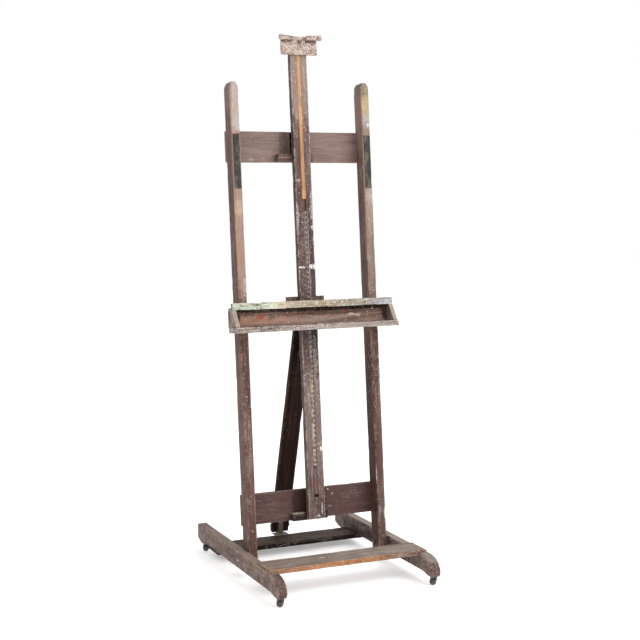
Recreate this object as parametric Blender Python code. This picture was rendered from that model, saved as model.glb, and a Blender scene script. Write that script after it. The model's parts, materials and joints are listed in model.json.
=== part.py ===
"""H frame studio easel, built as separate pieces.

Frame: +X is the right-hand side seen from the front, the front faces -Y, +Z is up.
The origin is on the floor, in the middle of the base.
The leaning frame is laid out in its own axes: x across, n backwards from the front
of the uprights, s up along the lean. lean_point() turns those into the shared axes.
The strut has axes of its own as well: t up from its foot pin, w towards the back.
"""
import math

import bmesh
import bpy
from mathutils import Matrix, Vector

# ---- driving dimensions, metres ----
GAP = 0.0003                    # clearance between pieces that touch

# base runners
RUNNER_IN = 0.2892              # inner face, from the middle
RUNNER_OUT = 0.3257             # outer face
RUNNER_TOP = 0.1050
RUNNER_UNDER = 0.0430
FOOT_UNDER = 0.0345
RUNNER_BACK = 0.4720
HOUSING_STOP = 0.0095           # wood left outside the front board's left end

# boards across the base
FRONT_BOARD_Y = (-0.2680, -0.1500)
FRONT_BOARD_Z = (0.0915, 0.1110)
REAR_BOARD_Y = (0.2580, 0.3740)
REAR_BOARD_Z = (0.0262, 0.0455)
REAR_BOARD_END = 0.3170

# casters
CASTER_X = 0.3075
CASTER_FRONT_Y = -0.3530
CASTER_BACK_Y = 0.4200
CASTER_TRAIL = 0.0060
WHEEL_RADIUS = 0.0140
WHEEL_HALF = 0.0105

# the leaning frame
LEAN = math.radians(5.77)
LEAN_Y = -0.0194                # where the front plane of the uprights meets the floor
UPRIGHT_IN = 0.2555
UPRIGHT_OUT = 0.2888
UPRIGHT_DEPTH = 0.0636
UPRIGHT_FOOT_S = 0.0530
UPRIGHT_TOP_S = {"left": 1.8705, "right": 1.8800}
PIVOT_N = 0.0420
PIVOT_S = 0.0780
BOARD_N = (0.0640, 0.0806)
UPPER_BOARD_S = (1.5750, 1.6925)
LOWER_BOARD_S = (0.1955, 0.3135)

# mast, rack and the groove they share with the head's slide
MAST_HALF = 0.0343
MAST_N = (0.0096, 0.0351)
MAST_S = (0.1997, 1.9860)
GROOVE_HALF = 0.0080
GROOVE_FLOOR = 0.0180
GROOVE_S = (0.3538, 0.3845)
RACK_HALF = 0.0064
RACK_S = (0.4045, 1.3830)
RACK_FACE = 0.0106
RACK_PITCH = 0.0190
BOLT_HOLE_S = 0.2903
BOLT_HOLE = (0.0100, 0.0068)    # half width and half height of the oval recess

# tray
TRAY_HALF = 0.3348
CHEEK_THICK = 0.0175
TRAY_BACK_FACE = -0.0006        # runs just clear of the uprights
TRAY_BOTTOM_S = (0.9300, 0.9502)
TRAY_RAIL_S = (1.0148, 1.0413)
TRAY_LIP_N = -0.0900
TRAY_RAIL_N = -0.0450
TRAY_LEDGE = (-0.0300, 1.0240)  # n, s of the inner corner where a canvas stands

# head clamp
HEAD_HALF = 0.0750
HEAD_N = (-0.0040, 0.0093)
HEAD_S = (1.9770, 2.0480)
LIP_N = (-0.0240, -0.0043)
SLIDE_S = (1.4292, 2.0300)

# rear strut
STRUT_FOOT = (0.3870, 0.0830)   # y, z of the foot pin
STRUT_ANGLE = math.radians(15.62)
STRUT_HALF = 0.0365
STRUT_THICK = 0.0220
STRUT_TOP_T = 0.8800
LUG_T = 0.7760                  # where the swing bolt crosses the strut
LUG_W = -0.0300                 # its pivot stands in front of the strut's centre line

ROUND = 24


for old in list(bpy.data.objects):
    bpy.data.objects.remove(old, do_unlink=True)


# ---- placing ----
def lean_point(x, n, s):
    """A point of the leaning frame in the shared axes."""
    return Vector((
        x,
        LEAN_Y + s * math.sin(LEAN) + n * math.cos(LEAN),
        s * math.cos(LEAN) - n * math.sin(LEAN),
    ))


def strut_point(x, w, t):
    """A point of the strut in the shared axes."""
    return Vector((
        x,
        STRUT_FOOT[0] - t * math.sin(STRUT_ANGLE) + w * math.cos(STRUT_ANGLE),
        STRUT_FOOT[1] + t * math.cos(STRUT_ANGLE) + w * math.sin(STRUT_ANGLE),
    ))


def upright_point(x, y, z):
    """A point already in the shared axes."""
    return Vector((x, y, z))


FRAME_PIVOT = lean_point(0.0, PIVOT_N, PIVOT_S)
STRUT_PIVOT = strut_point(0.0, 0.0, 0.0)
LUG_PIVOT = strut_point(0.0, LUG_W, LUG_T)


# ---- materials ----
def material(name, colour, roughness, metallic=0.0):
    """A plain surface with its own colour."""
    mat = bpy.data.materials.new(name)
    mat.use_nodes = True
    shader = mat.node_tree.nodes["Principled BSDF"]
    shader.inputs["Base Color"].default_value = (*colour, 1.0)
    shader.inputs["Roughness"].default_value = roughness
    shader.inputs["Metallic"].default_value = metallic
    return mat


STAINED = material("stained_wood", (0.130, 0.090, 0.080), 0.60)
BARE = material("bare_wood", (0.480, 0.250, 0.110), 0.60)
DARK = material("dark_wood", (0.030, 0.020, 0.018), 0.65)
RAIL_PAINT = material("pale_paint", (0.520, 0.560, 0.500), 0.55)
CRUST = material("crusted_paint", (0.420, 0.360, 0.330), 0.55)
PAD = material("pad_felt", (0.070, 0.075, 0.070), 0.90)
RACK_METAL = material("rack_steel", (0.300, 0.280, 0.260), 0.50, 0.80)
STEEL = material("fastener_steel", (0.420, 0.410, 0.400), 0.40, 1.00)
CASTER = material("caster_iron", (0.045, 0.045, 0.048), 0.45, 0.60)
TYRE = material("wheel_rubber", (0.030, 0.030, 0.032), 0.70)


# ---- mesh building ----
def finish(name, bm, mat, origin=(0.0, 0.0, 0.0), smooth=False):
    """Turn a mesh in shared axes into a named object with its origin on its joint."""
    origin = Vector(origin)
    for vert in bm.verts:
        vert.co -= origin
    bmesh.ops.recalc_face_normals(bm, faces=bm.faces[:])
    mesh = bpy.data.meshes.new(name)
    bm.to_mesh(mesh)
    bm.free()
    mesh.materials.append(mat)
    if smooth:
        mesh.set_sharp_from_angle(angle=math.radians(35))
        for poly in mesh.polygons:
            poly.use_smooth = True
    obj = bpy.data.objects.new(name, mesh)
    obj.location = origin
    bpy.context.scene.collection.objects.link(obj)
    return obj


def add_prism(bm, outline, low, high, across, place, bevel=0.0):
    """Push a closed outline along one of its frame's axes ('x', 'mid' or 'up')."""
    part = bmesh.new()

    def corner(a, b, c):
        if across == "x":
            return Vector((c, a, b))
        if across == "mid":
            return Vector((a, c, b))
        return Vector((a, b, c))

    near = [part.verts.new(corner(a, b, low)) for a, b in outline]
    far = [part.verts.new(corner(a, b, high)) for a, b in outline]
    part.faces.new(near)
    part.faces.new(list(reversed(far)))
    count = len(outline)
    for i in range(count):
        j = (i + 1) % count
        part.faces.new((near[i], far[i], far[j], near[j]))
    bmesh.ops.recalc_face_normals(part, faces=part.faces[:])
    if bevel:
        bmesh.ops.bevel(part, geom=part.edges[:], offset=bevel, segments=1,
                        affect="EDGES", clamp_overlap=True)
    for vert in part.verts:
        vert.co = place(*vert.co)
    scratch = bpy.data.meshes.new("scratch")
    part.to_mesh(scratch)
    part.free()
    bm.from_mesh(scratch)
    bpy.data.meshes.remove(scratch)


def add_block(bm, x_range, mid_range, up_range, place, bevel=0.0):
    """A rectangular piece given by its three ranges."""
    outline = [(mid_range[0], up_range[0]), (mid_range[1], up_range[0]),
               (mid_range[1], up_range[1]), (mid_range[0], up_range[1])]
    add_prism(bm, outline, x_range[0], x_range[1], "x", place, bevel)


def add_rod(bm, centre, radius, low, high, across, place, sides=ROUND, bevel=0.0):
    """A round bar; centre is given in the two axes the bar does not run along."""
    outline = []
    for i in range(sides):
        angle = 2.0 * math.pi * i / sides
        outline.append((centre[0] + radius * math.cos(angle),
                        centre[1] + radius * math.sin(angle)))
    add_prism(bm, outline, low, high, across, place, bevel)


def block(name, x_range, mid_range, up_range, mat, place=upright_point,
          bevel=0.0012, origin=(0.0, 0.0, 0.0)):
    """One rectangular piece as an object."""
    bm = bmesh.new()
    add_block(bm, x_range, mid_range, up_range, place, bevel)
    return finish(name, bm, mat, origin)


def prism(name, outline, low, high, across, mat, place=upright_point,
          bevel=0.0, origin=(0.0, 0.0, 0.0)):
    """One pushed outline as an object."""
    bm = bmesh.new()
    add_prism(bm, outline, low, high, across, place, bevel)
    return finish(name, bm, mat, origin)


def turned(name, profile, centre, across, mat, place, origin=(0.0, 0.0, 0.0), sides=ROUND,
           smooth=False):
    """A round piece: profile lists (radius, position along its axis)."""
    bm = bmesh.new()
    rings = []
    for radius, along in profile:
        ring = []
        for i in range(sides):
            angle = 2.0 * math.pi * i / sides
            a = centre[0] + radius * math.cos(angle)
            b = centre[1] + radius * math.sin(angle)
            if across == "x":
                point = (along, a, b)
            elif across == "mid":
                point = (a, along, b)
            else:
                point = (a, b, along)
            ring.append(bm.verts.new(place(*point)))
        rings.append(ring)
    bm.faces.new(rings[0])
    bm.faces.new(list(reversed(rings[-1])))
    for first, second in zip(rings, rings[1:]):
        for i in range(sides):
            j = (i + 1) % sides
            bm.faces.new((first[i], second[i], second[j], first[j]))
    return finish(name, bm, mat, origin, smooth)


def combine(target, name, build, operation):
    """Cut a shape out of a piece, or grow the piece by it."""
    bm = bmesh.new()
    build(bm)
    helper = finish(name, bm, STEEL)
    helper.hide_render = True
    helper.display_type = "WIRE"
    boolean = target.modifiers.new(name, "BOOLEAN")
    boolean.operation = operation
    boolean.solver = "EXACT"
    boolean.object = helper


def cut(target, name, build):
    """Take a shape away from a piece."""
    combine(target, name, build, "DIFFERENCE")


def grow(target, name, build):
    """Join a shape to a piece as one solid."""
    combine(target, name, build, "UNION")


# ---- base ----
RUNNER_OUTLINE = [
    (RUNNER_BACK, 0.0490), (RUNNER_BACK, 0.1035), (RUNNER_BACK - 0.0030, RUNNER_TOP),
    (-0.2980, RUNNER_TOP), (-0.3200, 0.1020), (-0.3390, 0.0965), (-0.3520, 0.0885),
    (-0.3630, 0.0780), (-0.3710, 0.0660), (-0.3745, 0.0540), (-0.3720, 0.0430),
    (-0.3660, FOOT_UNDER), (-0.3400, FOOT_UNDER), (-0.3270, 0.0375), (-0.3110, 0.0410),
    (-0.2900, RUNNER_UNDER), (0.3850, RUNNER_UNDER), (0.4000, FOOT_UNDER),
    (0.4340, FOOT_UNDER),
]


def side_range(side, inner, outer):
    """An across range measured outwards from the middle on one side."""
    return (inner, outer) if side > 0 else (-outer, -inner)


for side, label in ((-1, "left"), (1, "right")):
    low, high = side_range(side, RUNNER_IN, RUNNER_OUT)
    runner = prism("runner_" + label, RUNNER_OUTLINE, low, high, "x", STAINED)

    def front_housing(bm, side=side):
        stop = RUNNER_OUT - HOUSING_STOP if side < 0 else RUNNER_OUT + 0.01
        add_block(bm, side_range(side, RUNNER_IN - 0.01, stop),
                  (FRONT_BOARD_Y[0] - GAP, FRONT_BOARD_Y[1] + GAP),
                  (FRONT_BOARD_Z[0] - GAP, RUNNER_TOP + 0.02), upright_point)

    def rear_housing(bm, side=side):
        add_block(bm, side_range(side, RUNNER_IN - 0.01, RUNNER_OUT + 0.01),
                  (REAR_BOARD_Y[0] - GAP, REAR_BOARD_Y[1] + GAP),
                  (0.0, REAR_BOARD_Z[1] + GAP), upright_point)

    def pivot_bore(bm, side=side):
        add_rod(bm, (FRAME_PIVOT.y, FRAME_PIVOT.z), 0.0043,
                *side_range(side, RUNNER_IN - 0.01, RUNNER_OUT + 0.01), "x", upright_point)

    cut(runner, "cut_front_housing_" + label, front_housing)
    cut(runner, "cut_rear_housing_" + label, rear_housing)
    cut(runner, "cut_runner_bore_" + label, pivot_bore)

block("front_board", (-RUNNER_OUT + HOUSING_STOP + GAP, RUNNER_OUT), FRONT_BOARD_Y,
      FRONT_BOARD_Z, BARE, bevel=0.0020)
block("rear_board", (-REAR_BOARD_END, REAR_BOARD_END), REAR_BOARD_Y, REAR_BOARD_Z,
      STAINED, bevel=0.0015)

for side, label in ((-1, "left"), (1, "right")):
    head_in, head_out = UPRIGHT_IN - 0.0050, UPRIGHT_IN - 0.0006
    turned("pivot_bolt_" + label,
           [(0.0065, side * head_in), (0.0080, side * (head_in + 0.0015)),
            (0.0080, side * head_out), (0.0040, side * head_out),
            (0.0040, side * RUNNER_OUT)],
           (FRAME_PIVOT.y, FRAME_PIVOT.z), "x", STEEL, upright_point, FRAME_PIVOT)

# bracket for the strut's foot: base leaf, back leaf and a tapered tongue
bm = bmesh.new()
leaf_top = REAR_BOARD_Z[1] + GAP + 0.0035
leaf_y = (0.3600, 0.4000)
add_prism(bm, [(leaf_y[0], REAR_BOARD_Z[1] + GAP), (leaf_y[1], REAR_BOARD_Z[1] + GAP),
               (leaf_y[1], leaf_top), (leaf_y[0], leaf_top)], -0.0290, 0.0290, "x",
          upright_point)
bracket = finish("strut_bracket", bm, STEEL)
bm = bmesh.new()
add_prism(bm, [(-0.0125, leaf_top + GAP), (0.0105, leaf_top + GAP),
               (0.0085, 0.0960), (-0.0090, 0.0960)], 0.3745, 0.3990, "mid", upright_point)
tongue = finish("bracket_tongue", bm, STEEL)


def tongue_bore(bm):
    add_rod(bm, STRUT_FOOT, 0.0043, -0.03, 0.03, "x", upright_point)


cut(tongue, "cut_tongue_bore", tongue_bore)


# ---- casters ----
def caster(label, x, y):
    """One swivelling caster: a yoke that turns about Z and a wheel that rolls in it."""
    wheel_y = y + CASTER_TRAIL
    turned("caster_plate_" + label, [(0.0135, 0.0321), (0.0135, FOOT_UNDER - GAP)],
           (x, y), "up", CASTER, upright_point, (x, y, 0.0), 20)
    yoke = turned("caster_yoke_" + label, [(0.0134, 0.0296), (0.0134, 0.0318)], (x, y),
                  "up", CASTER, upright_point, (x, y, 0.0), 20)

    def legs_and_axle(bm):
        for side in (-1, 1):
            low, high = side_range(side, WHEEL_HALF + 0.0005, WHEEL_HALF + 0.0022)
            add_prism(bm, [(y - 0.0040, 0.0306), (wheel_y - 0.0040, 0.0102),
                           (wheel_y + 0.0040, 0.0102), (y + 0.0040, 0.0306)],
                      x + low, x + high, "x", upright_point)

    def axle(bm):
        add_rod(bm, (wheel_y, WHEEL_RADIUS), 0.0018, x - WHEEL_HALF - 0.0016,
                x + WHEEL_HALF + 0.0016, "x", upright_point, 12)

    def axle_bore(bm):
        add_rod(bm, (wheel_y, WHEEL_RADIUS), 0.0022, x - 0.02, x + 0.02, "x",
                upright_point, 12)

    grow(yoke, "grow_legs_" + label, legs_and_axle)
    grow(yoke, "grow_axle_" + label, axle)
    crown = [(0.0070, -WHEEL_HALF), (0.0104, -0.0090), (0.0128, -0.0060),
             (0.0138, -0.0030), (WHEEL_RADIUS, 0.0)]
    crown += [(radius, -place) for radius, place in reversed(crown[:-1])]
    wheel = turned("caster_wheel_" + label, [(radius, x + place) for radius, place in crown],
                   (wheel_y, WHEEL_RADIUS), "x", TYRE, upright_point,
                   (x, wheel_y, WHEEL_RADIUS), 28, True)
    cut(wheel, "cut_axle_" + label, axle_bore)


for side, side_name in ((-1, "left"), (1, "right")):
    for y, end_name in ((CASTER_FRONT_Y, "front"), (CASTER_BACK_Y, "back")):
        caster(end_name + "_" + side_name, side * CASTER_X, y)

# ---- uprights and crossboards ----
for side, label in ((-1, "left"), (1, "right")):
    low, high = side_range(side, UPRIGHT_IN, UPRIGHT_OUT)
    top = UPRIGHT_TOP_S[label]
    outline = [(low, UPRIGHT_FOOT_S), (high, UPRIGHT_FOOT_S), (high, top - 0.0280),
               (high - 0.0030, top - 0.0100), (high - 0.0095, top),
               (low + 0.0095, top), (low + 0.0030, top - 0.0100), (low, top - 0.0280)]
    upright = prism("upright_" + label, outline, 0.0, UPRIGHT_DEPTH, "mid", STAINED,
                    lean_point, 0.0015, FRAME_PIVOT)

    def upright_bore(bm):
        add_rod(bm, (PIVOT_N, PIVOT_S), 0.0043, -0.4, 0.4, "x", lean_point)

    cut(upright, "cut_upright_bore_" + label, upright_bore)
    pad_middle = side * 0.5 * (UPRIGHT_IN + UPRIGHT_OUT)
    block("pad_" + label, (pad_middle - 0.0130, pad_middle + 0.0130), (-0.0033, -GAP),
          (1.4700, 1.6740), PAD, lean_point, 0.0006, FRAME_PIVOT)

for label, s_range in (("upper", UPPER_BOARD_S), ("lower", LOWER_BOARD_S)):
    block("crossboard_" + label, (-UPRIGHT_OUT, UPRIGHT_OUT), BOARD_N, s_range, STAINED,
          lean_point, 0.0015, FRAME_PIVOT)
    cleat_s = (s_range[0], s_range[0] + 0.0300)
    block("cleat_" + label, (-0.0895, 0.0560), (MAST_N[1] + GAP, BOARD_N[0] - GAP),
          cleat_s, STAINED, lean_point, 0.0015, FRAME_PIVOT)
    block("spacer_" + label, (-0.0280, 0.0280), (MAST_N[1] + GAP, BOARD_N[0] - GAP),
          (cleat_s[1] + 0.0040, s_range[1] - 0.0030), DARK, lean_point, 0.0010, FRAME_PIVOT)

for label, s_range in (("upper", UPPER_BOARD_S), ("lower", LOWER_BOARD_S)):
    middle_s = 0.5 * (s_range[0] + s_range[1])
    for side, side_name in ((-1, "left"), (1, "right")):
        turned("frame_bolt_" + label + "_" + side_name,
               [(0.0085, BOARD_N[1] + GAP), (0.0085, BOARD_N[1] + 0.0032),
                (0.0060, BOARD_N[1] + 0.0050)],
               (side * 0.2720, middle_s), "mid", STEEL, lean_point, FRAME_PIVOT, 16)

# ---- mast ----
mast = block("mast", (-MAST_HALF, MAST_HALF), MAST_N, MAST_S, STAINED, lean_point,
             0.0015, FRAME_PIVOT)


def groove(bm):
    top = MAST_S[1] + 0.02
    add_prism(bm, [(MAST_N[0] - 0.001, GROOVE_S[0]), (GROOVE_FLOOR, GROOVE_S[1]),
                   (GROOVE_FLOOR, top), (MAST_N[0] - 0.001, top)],
              -GROOVE_HALF, GROOVE_HALF, "x", lean_point)


def bolt_recess(bm):
    outline = []
    for step in range(ROUND):
        angle = 2 * math.pi * step / ROUND
        outline.append((BOLT_HOLE[0] * math.cos(angle),
                        BOLT_HOLE_S + BOLT_HOLE[1] * math.sin(angle)))
    add_prism(bm, outline, MAST_N[0] - 0.005, MAST_N[0] + 0.0150, "mid", lean_point)


CLAMP_S = 1.9300


def clamp_bore(bm):
    add_rod(bm, (0.0, CLAMP_S), 0.0034, GROOVE_FLOOR - 0.002, MAST_N[1] + 0.01,
            "mid", lean_point, 16)


cut(mast, "cut_groove", groove)
cut(mast, "cut_bolt_recess", bolt_recess)
cut(mast, "cut_clamp_bore", clamp_bore)

turned("mast_bolt", [(0.0055, MAST_N[0] + 0.0147), (0.0055, MAST_N[0] + 0.0120),
                     (0.0042, MAST_N[0] + 0.0110)],
       (0.0, BOLT_HOLE_S), "mid", STEEL, lean_point, FRAME_PIVOT, 16)

teeth = int((RACK_S[1] - RACK_S[0]) / RACK_PITCH)
outline = [(GROOVE_FLOOR - GAP, RACK_S[1]), (GROOVE_FLOOR - GAP, RACK_S[0]),
           (RACK_FACE, RACK_S[0])]
for tooth in range(teeth):
    step = RACK_S[0] + tooth * RACK_PITCH
    outline += [(RACK_FACE, step + 0.0080), (RACK_FACE + 0.0042, step + 0.0085),
                (RACK_FACE + 0.0042, step + 0.0120)]
    outline += [(RACK_FACE, step + RACK_PITCH)]
outline += [(RACK_FACE, RACK_S[1])]
prism("rack", outline, -RACK_HALF, RACK_HALF, "x", RACK_METAL, lean_point, 0.0, FRAME_PIVOT)

# lug behind the mast for the strut's swing bolt: two cheeks and a pin
lug_y = LUG_PIVOT.y - LEAN_Y
LUG_N = lug_y * math.cos(LEAN) - LUG_PIVOT.z * math.sin(LEAN)
LUG_S = lug_y * math.sin(LEAN) + LUG_PIVOT.z * math.cos(LEAN)
lug_base = MAST_N[1] + GAP
lug = block("mast_lug", (-0.0150, 0.0150), (lug_base, lug_base + 0.0040),
            (LUG_S - 0.0380, LUG_S + 0.0380), STEEL, lean_point, 0.0, FRAME_PIVOT)


def lug_cheeks(bm):
    for side in (-1, 1):
        low, high = side_range(side, 0.0062, 0.0140)
        add_prism(bm, [(lug_base + 0.0020, LUG_S - 0.0320),
                       (LUG_N + 0.0070, LUG_S - 0.0100), (LUG_N + 0.0090, LUG_S),
                       (LUG_N + 0.0070, LUG_S + 0.0100),
                       (lug_base + 0.0020, LUG_S + 0.0320)], low, high, "x", lean_point)


def lug_bore(bm):
    add_rod(bm, (LUG_N, LUG_S), 0.0034, -0.03, 0.03, "x", lean_point, 16)


grow(lug, "grow_lug_cheeks", lug_cheeks)
cut(lug, "cut_lug_bore", lug_bore)
turned("lug_pin", [(0.0050, -0.0168), (0.0050, -0.0144), (0.0030, -0.0144),
                   (0.0030, 0.0144), (0.0050, 0.0144), (0.0050, 0.0168)],
       (LUG_N, LUG_S), "x", STEEL, lean_point, FRAME_PIVOT, 16)

# ---- strut and its swing bolt ----
half = 0.5 * STRUT_THICK
strut = prism("strut", [(-half, -0.0260), (half, -0.0260), (half, STRUT_TOP_T),
                        (-half, STRUT_TOP_T)], -STRUT_HALF, STRUT_HALF, "x", DARK,
              strut_point, 0.0015, STRUT_PIVOT)


def fork_slot(bm):
    add_block(bm, (-0.0145, 0.0120), (-0.03, 0.03), (-0.04, 0.0560), strut_point)


def foot_bore(bm):
    add_rod(bm, (0.0, 0.0), 0.0043, -0.06, 0.06, "x", strut_point)


def tilt_slot(bm):
    add_block(bm, (-0.0049, 0.0049), (-0.03, 0.03), (0.7250, 0.8300), strut_point)


cut(strut, "cut_fork_slot", fork_slot)
cut(strut, "cut_foot_bore", foot_bore)
cut(strut, "cut_tilt_slot", tilt_slot)

pin_end = STRUT_HALF + 0.0045
pin_neck = STRUT_HALF + 0.0008
turned("foot_pin", [(0.0070, -pin_end), (0.0070, -pin_neck), (0.0040, -pin_neck),
                    (0.0040, pin_neck), (0.0070, pin_neck), (0.0070, pin_end)],
       STRUT_FOOT, "x", STEEL, upright_point, STRUT_PIVOT, 20)

eye = turned("swing_bolt", [(0.0085, -0.0055), (0.0085, 0.0055)], (LUG_W, LUG_T), "x",
             STEEL, strut_point, LUG_PIVOT, 20)


def bolt_shank(bm):
    add_rod(bm, (0.0, LUG_T), 0.0038, LUG_W + 0.0060, 0.0340, "mid", strut_point, 16)


def eye_bore(bm):
    add_rod(bm, (LUG_W, LUG_T), 0.0033, -0.02, 0.02, "x", strut_point, 16)


grow(eye, "grow_bolt_shank", bolt_shank)
cut(eye, "cut_eye_bore", eye_bore)

nut_w = (half + 0.0012, half + 0.0110)
nut = turned("wing_nut", [(0.0085, nut_w[0]), (0.0085, nut_w[1] - 0.0010),
                          (0.0075, nut_w[1])], (0.0, LUG_T), "mid", STEEL, strut_point,
             LUG_PIVOT, 20)


def nut_wings(bm):
    outline = [(-0.0270, LUG_T), (-0.0240, LUG_T - 0.0060), (-0.0080, LUG_T - 0.0040),
               (0.0080, LUG_T - 0.0040), (0.0240, LUG_T - 0.0060), (0.0270, LUG_T),
               (0.0240, LUG_T + 0.0060), (0.0080, LUG_T + 0.0040),
               (-0.0080, LUG_T + 0.0040), (-0.0240, LUG_T + 0.0060)]
    add_prism(bm, outline, nut_w[0] + 0.0030, nut_w[0] + 0.0062, "mid", strut_point)


def nut_bore(bm):
    add_rod(bm, (0.0, LUG_T), 0.0042, 0.0, 0.06, "mid", strut_point, 16)


grow(nut, "grow_nut_wings", nut_wings)
cut(nut, "cut_nut_bore", nut_bore)

# ---- tray ----
TRAY_ORIGIN = lean_point(0.0, 0.0, 0.0)
back_front = -0.0190
outline = [(TRAY_RAIL_N, TRAY_RAIL_S[0]), (TRAY_BACK_FACE, TRAY_RAIL_S[0]),
           (TRAY_BACK_FACE, TRAY_LEDGE[1]), TRAY_LEDGE, (TRAY_LEDGE[0], TRAY_RAIL_S[1]),
           (TRAY_RAIL_N, TRAY_RAIL_S[1])]
prism("tray_rail", outline, -TRAY_HALF, TRAY_HALF, "x", RAIL_PAINT, lean_point, 0.0015)
block("tray_back", (-TRAY_HALF, TRAY_HALF), (back_front, TRAY_BACK_FACE),
      (TRAY_BOTTOM_S[1] + GAP, TRAY_RAIL_S[0] - GAP), STAINED, lean_point, 0.0008)
block("tray_bottom", (-TRAY_HALF, TRAY_HALF), (TRAY_LIP_N, TRAY_BACK_FACE),
      TRAY_BOTTOM_S, STAINED, lean_point, 0.0015)
for side, label in ((-1, "left"), (1, "right")):
    low, high = side_range(side, TRAY_HALF - CHEEK_THICK, TRAY_HALF)
    outline = [(back_front - GAP, TRAY_BOTTOM_S[1] + GAP), (-0.0800, TRAY_BOTTOM_S[1] + GAP),
               (-0.0790, TRAY_BOTTOM_S[1] + 0.0060), (-0.0430, TRAY_RAIL_S[0] - GAP),
               (back_front - GAP, TRAY_RAIL_S[0] - GAP)]
    prism("tray_cheek_" + label, outline, low, high, "x", STAINED, lean_point, 0.0008)
    block("tray_spacer_" + label, side_range(side, MAST_HALF + 0.0010, 0.0780),
          (TRAY_BACK_FACE + GAP, MAST_N[1] + 0.0004), (0.9560, 1.0360), DARK,
          lean_point, 0.0008)
    block("tray_keeper_" + label, side_range(side, 0.0200, 0.0800),
          (MAST_N[1] + 0.0007, 0.0490), (0.9520, 1.0575), STAINED, lean_point, 0.0012)

# pawl between the tray's back and the rack, drawn just clear of the rack; a small turn
# swings its tip over a ledge
PAWL_TIP_N = 0.0103
PAWL_N = 0.0044
PAWL_S = 0.9880
pawl_pivot = lean_point(0.0, PAWL_N, PAWL_S)
tooth_s = RACK_S[0] + 29 * RACK_PITCH + 0.0090
pawl = prism("tray_pawl",
             [(PAWL_N - 0.0024, tooth_s), (PAWL_TIP_N, tooth_s), (PAWL_TIP_N, tooth_s + 0.0016),
              (PAWL_N + 0.0024, tooth_s + 0.0080), (PAWL_N + 0.0024, PAWL_S + 0.0040),
              (PAWL_N - 0.0024, PAWL_S + 0.0040)],
             -0.0050, 0.0050, "x", STEEL, lean_point, 0.0, pawl_pivot)


def pawl_bore(bm):
    add_rod(bm, (PAWL_N, PAWL_S), 0.0016, -0.02, 0.02, "x", lean_point, 12)


cut(pawl, "cut_pawl_bore", pawl_bore)
turned("pawl_pin", [(0.0013, -0.0330), (0.0013, 0.0330)], (PAWL_N, PAWL_S), "x", STEEL,
       lean_point, pawl_pivot, 12)

# ---- head clamp ----
block("head_block", (-HEAD_HALF, HEAD_HALF), HEAD_N, HEAD_S, CRUST, lean_point, 0.0020)
lip_outlines = {
    "left": [(-0.0860, 2.0330), (-0.0840, 2.0310), (-0.0270, 2.0310), (-0.0240, 2.0340),
             (-0.0240, 2.0420), (-0.0280, 2.0450), (-0.0820, 2.0520), (-0.0860, 2.0480)],
    "right": [(0.0230, 2.0350), (0.0260, 2.0305), (0.0860, 2.0320), (0.0895, 2.0355),
              (0.0895, 2.0495), (0.0860, 2.0530), (0.0270, 2.0490), (0.0230, 2.0450)],
}
for label, outline in lip_outlines.items():
    prism("head_lip_" + label, outline, *LIP_N, "mid", CRUST, lean_point, 0.0015)
block("head_slide", (-GROOVE_HALF + GAP, GROOVE_HALF - GAP),
      (MAST_N[0] + 0.0002, GROOVE_FLOOR - GAP), SLIDE_S, BARE, lean_point, 0.0005)
turned("head_screw", [(0.0040, -0.0086), (0.0052, -0.0072), (0.0052, -0.0040 - GAP)],
       (0.0030, 2.0275), "mid", CASTER, lean_point, sides=16)

# thumb screw behind the mast that locks the slide
clamp_pivot = lean_point(0.0, MAST_N[1], CLAMP_S)
turned("clamp_screw", [(0.0030, GROOVE_FLOOR + GAP), (0.0030, 0.0440), (0.0120, 0.0440),
                       (0.0132, 0.0455), (0.0132, 0.0535), (0.0115, 0.0550)],
       (0.0, CLAMP_S), "mid", CASTER, lean_point, clamp_pivot, 16)

# ---- bring the middle of the base to the origin ----
MIDDLE_Y = 0.5 * (RUNNER_BACK + min(y for y, z in RUNNER_OUTLINE))
for obj in bpy.data.objects:
    obj.location.y -= MIDDLE_Y
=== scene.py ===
import itertools
import json
import math
import random

import bmesh
import bpy
from mathutils import Matrix, Vector, noise

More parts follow.
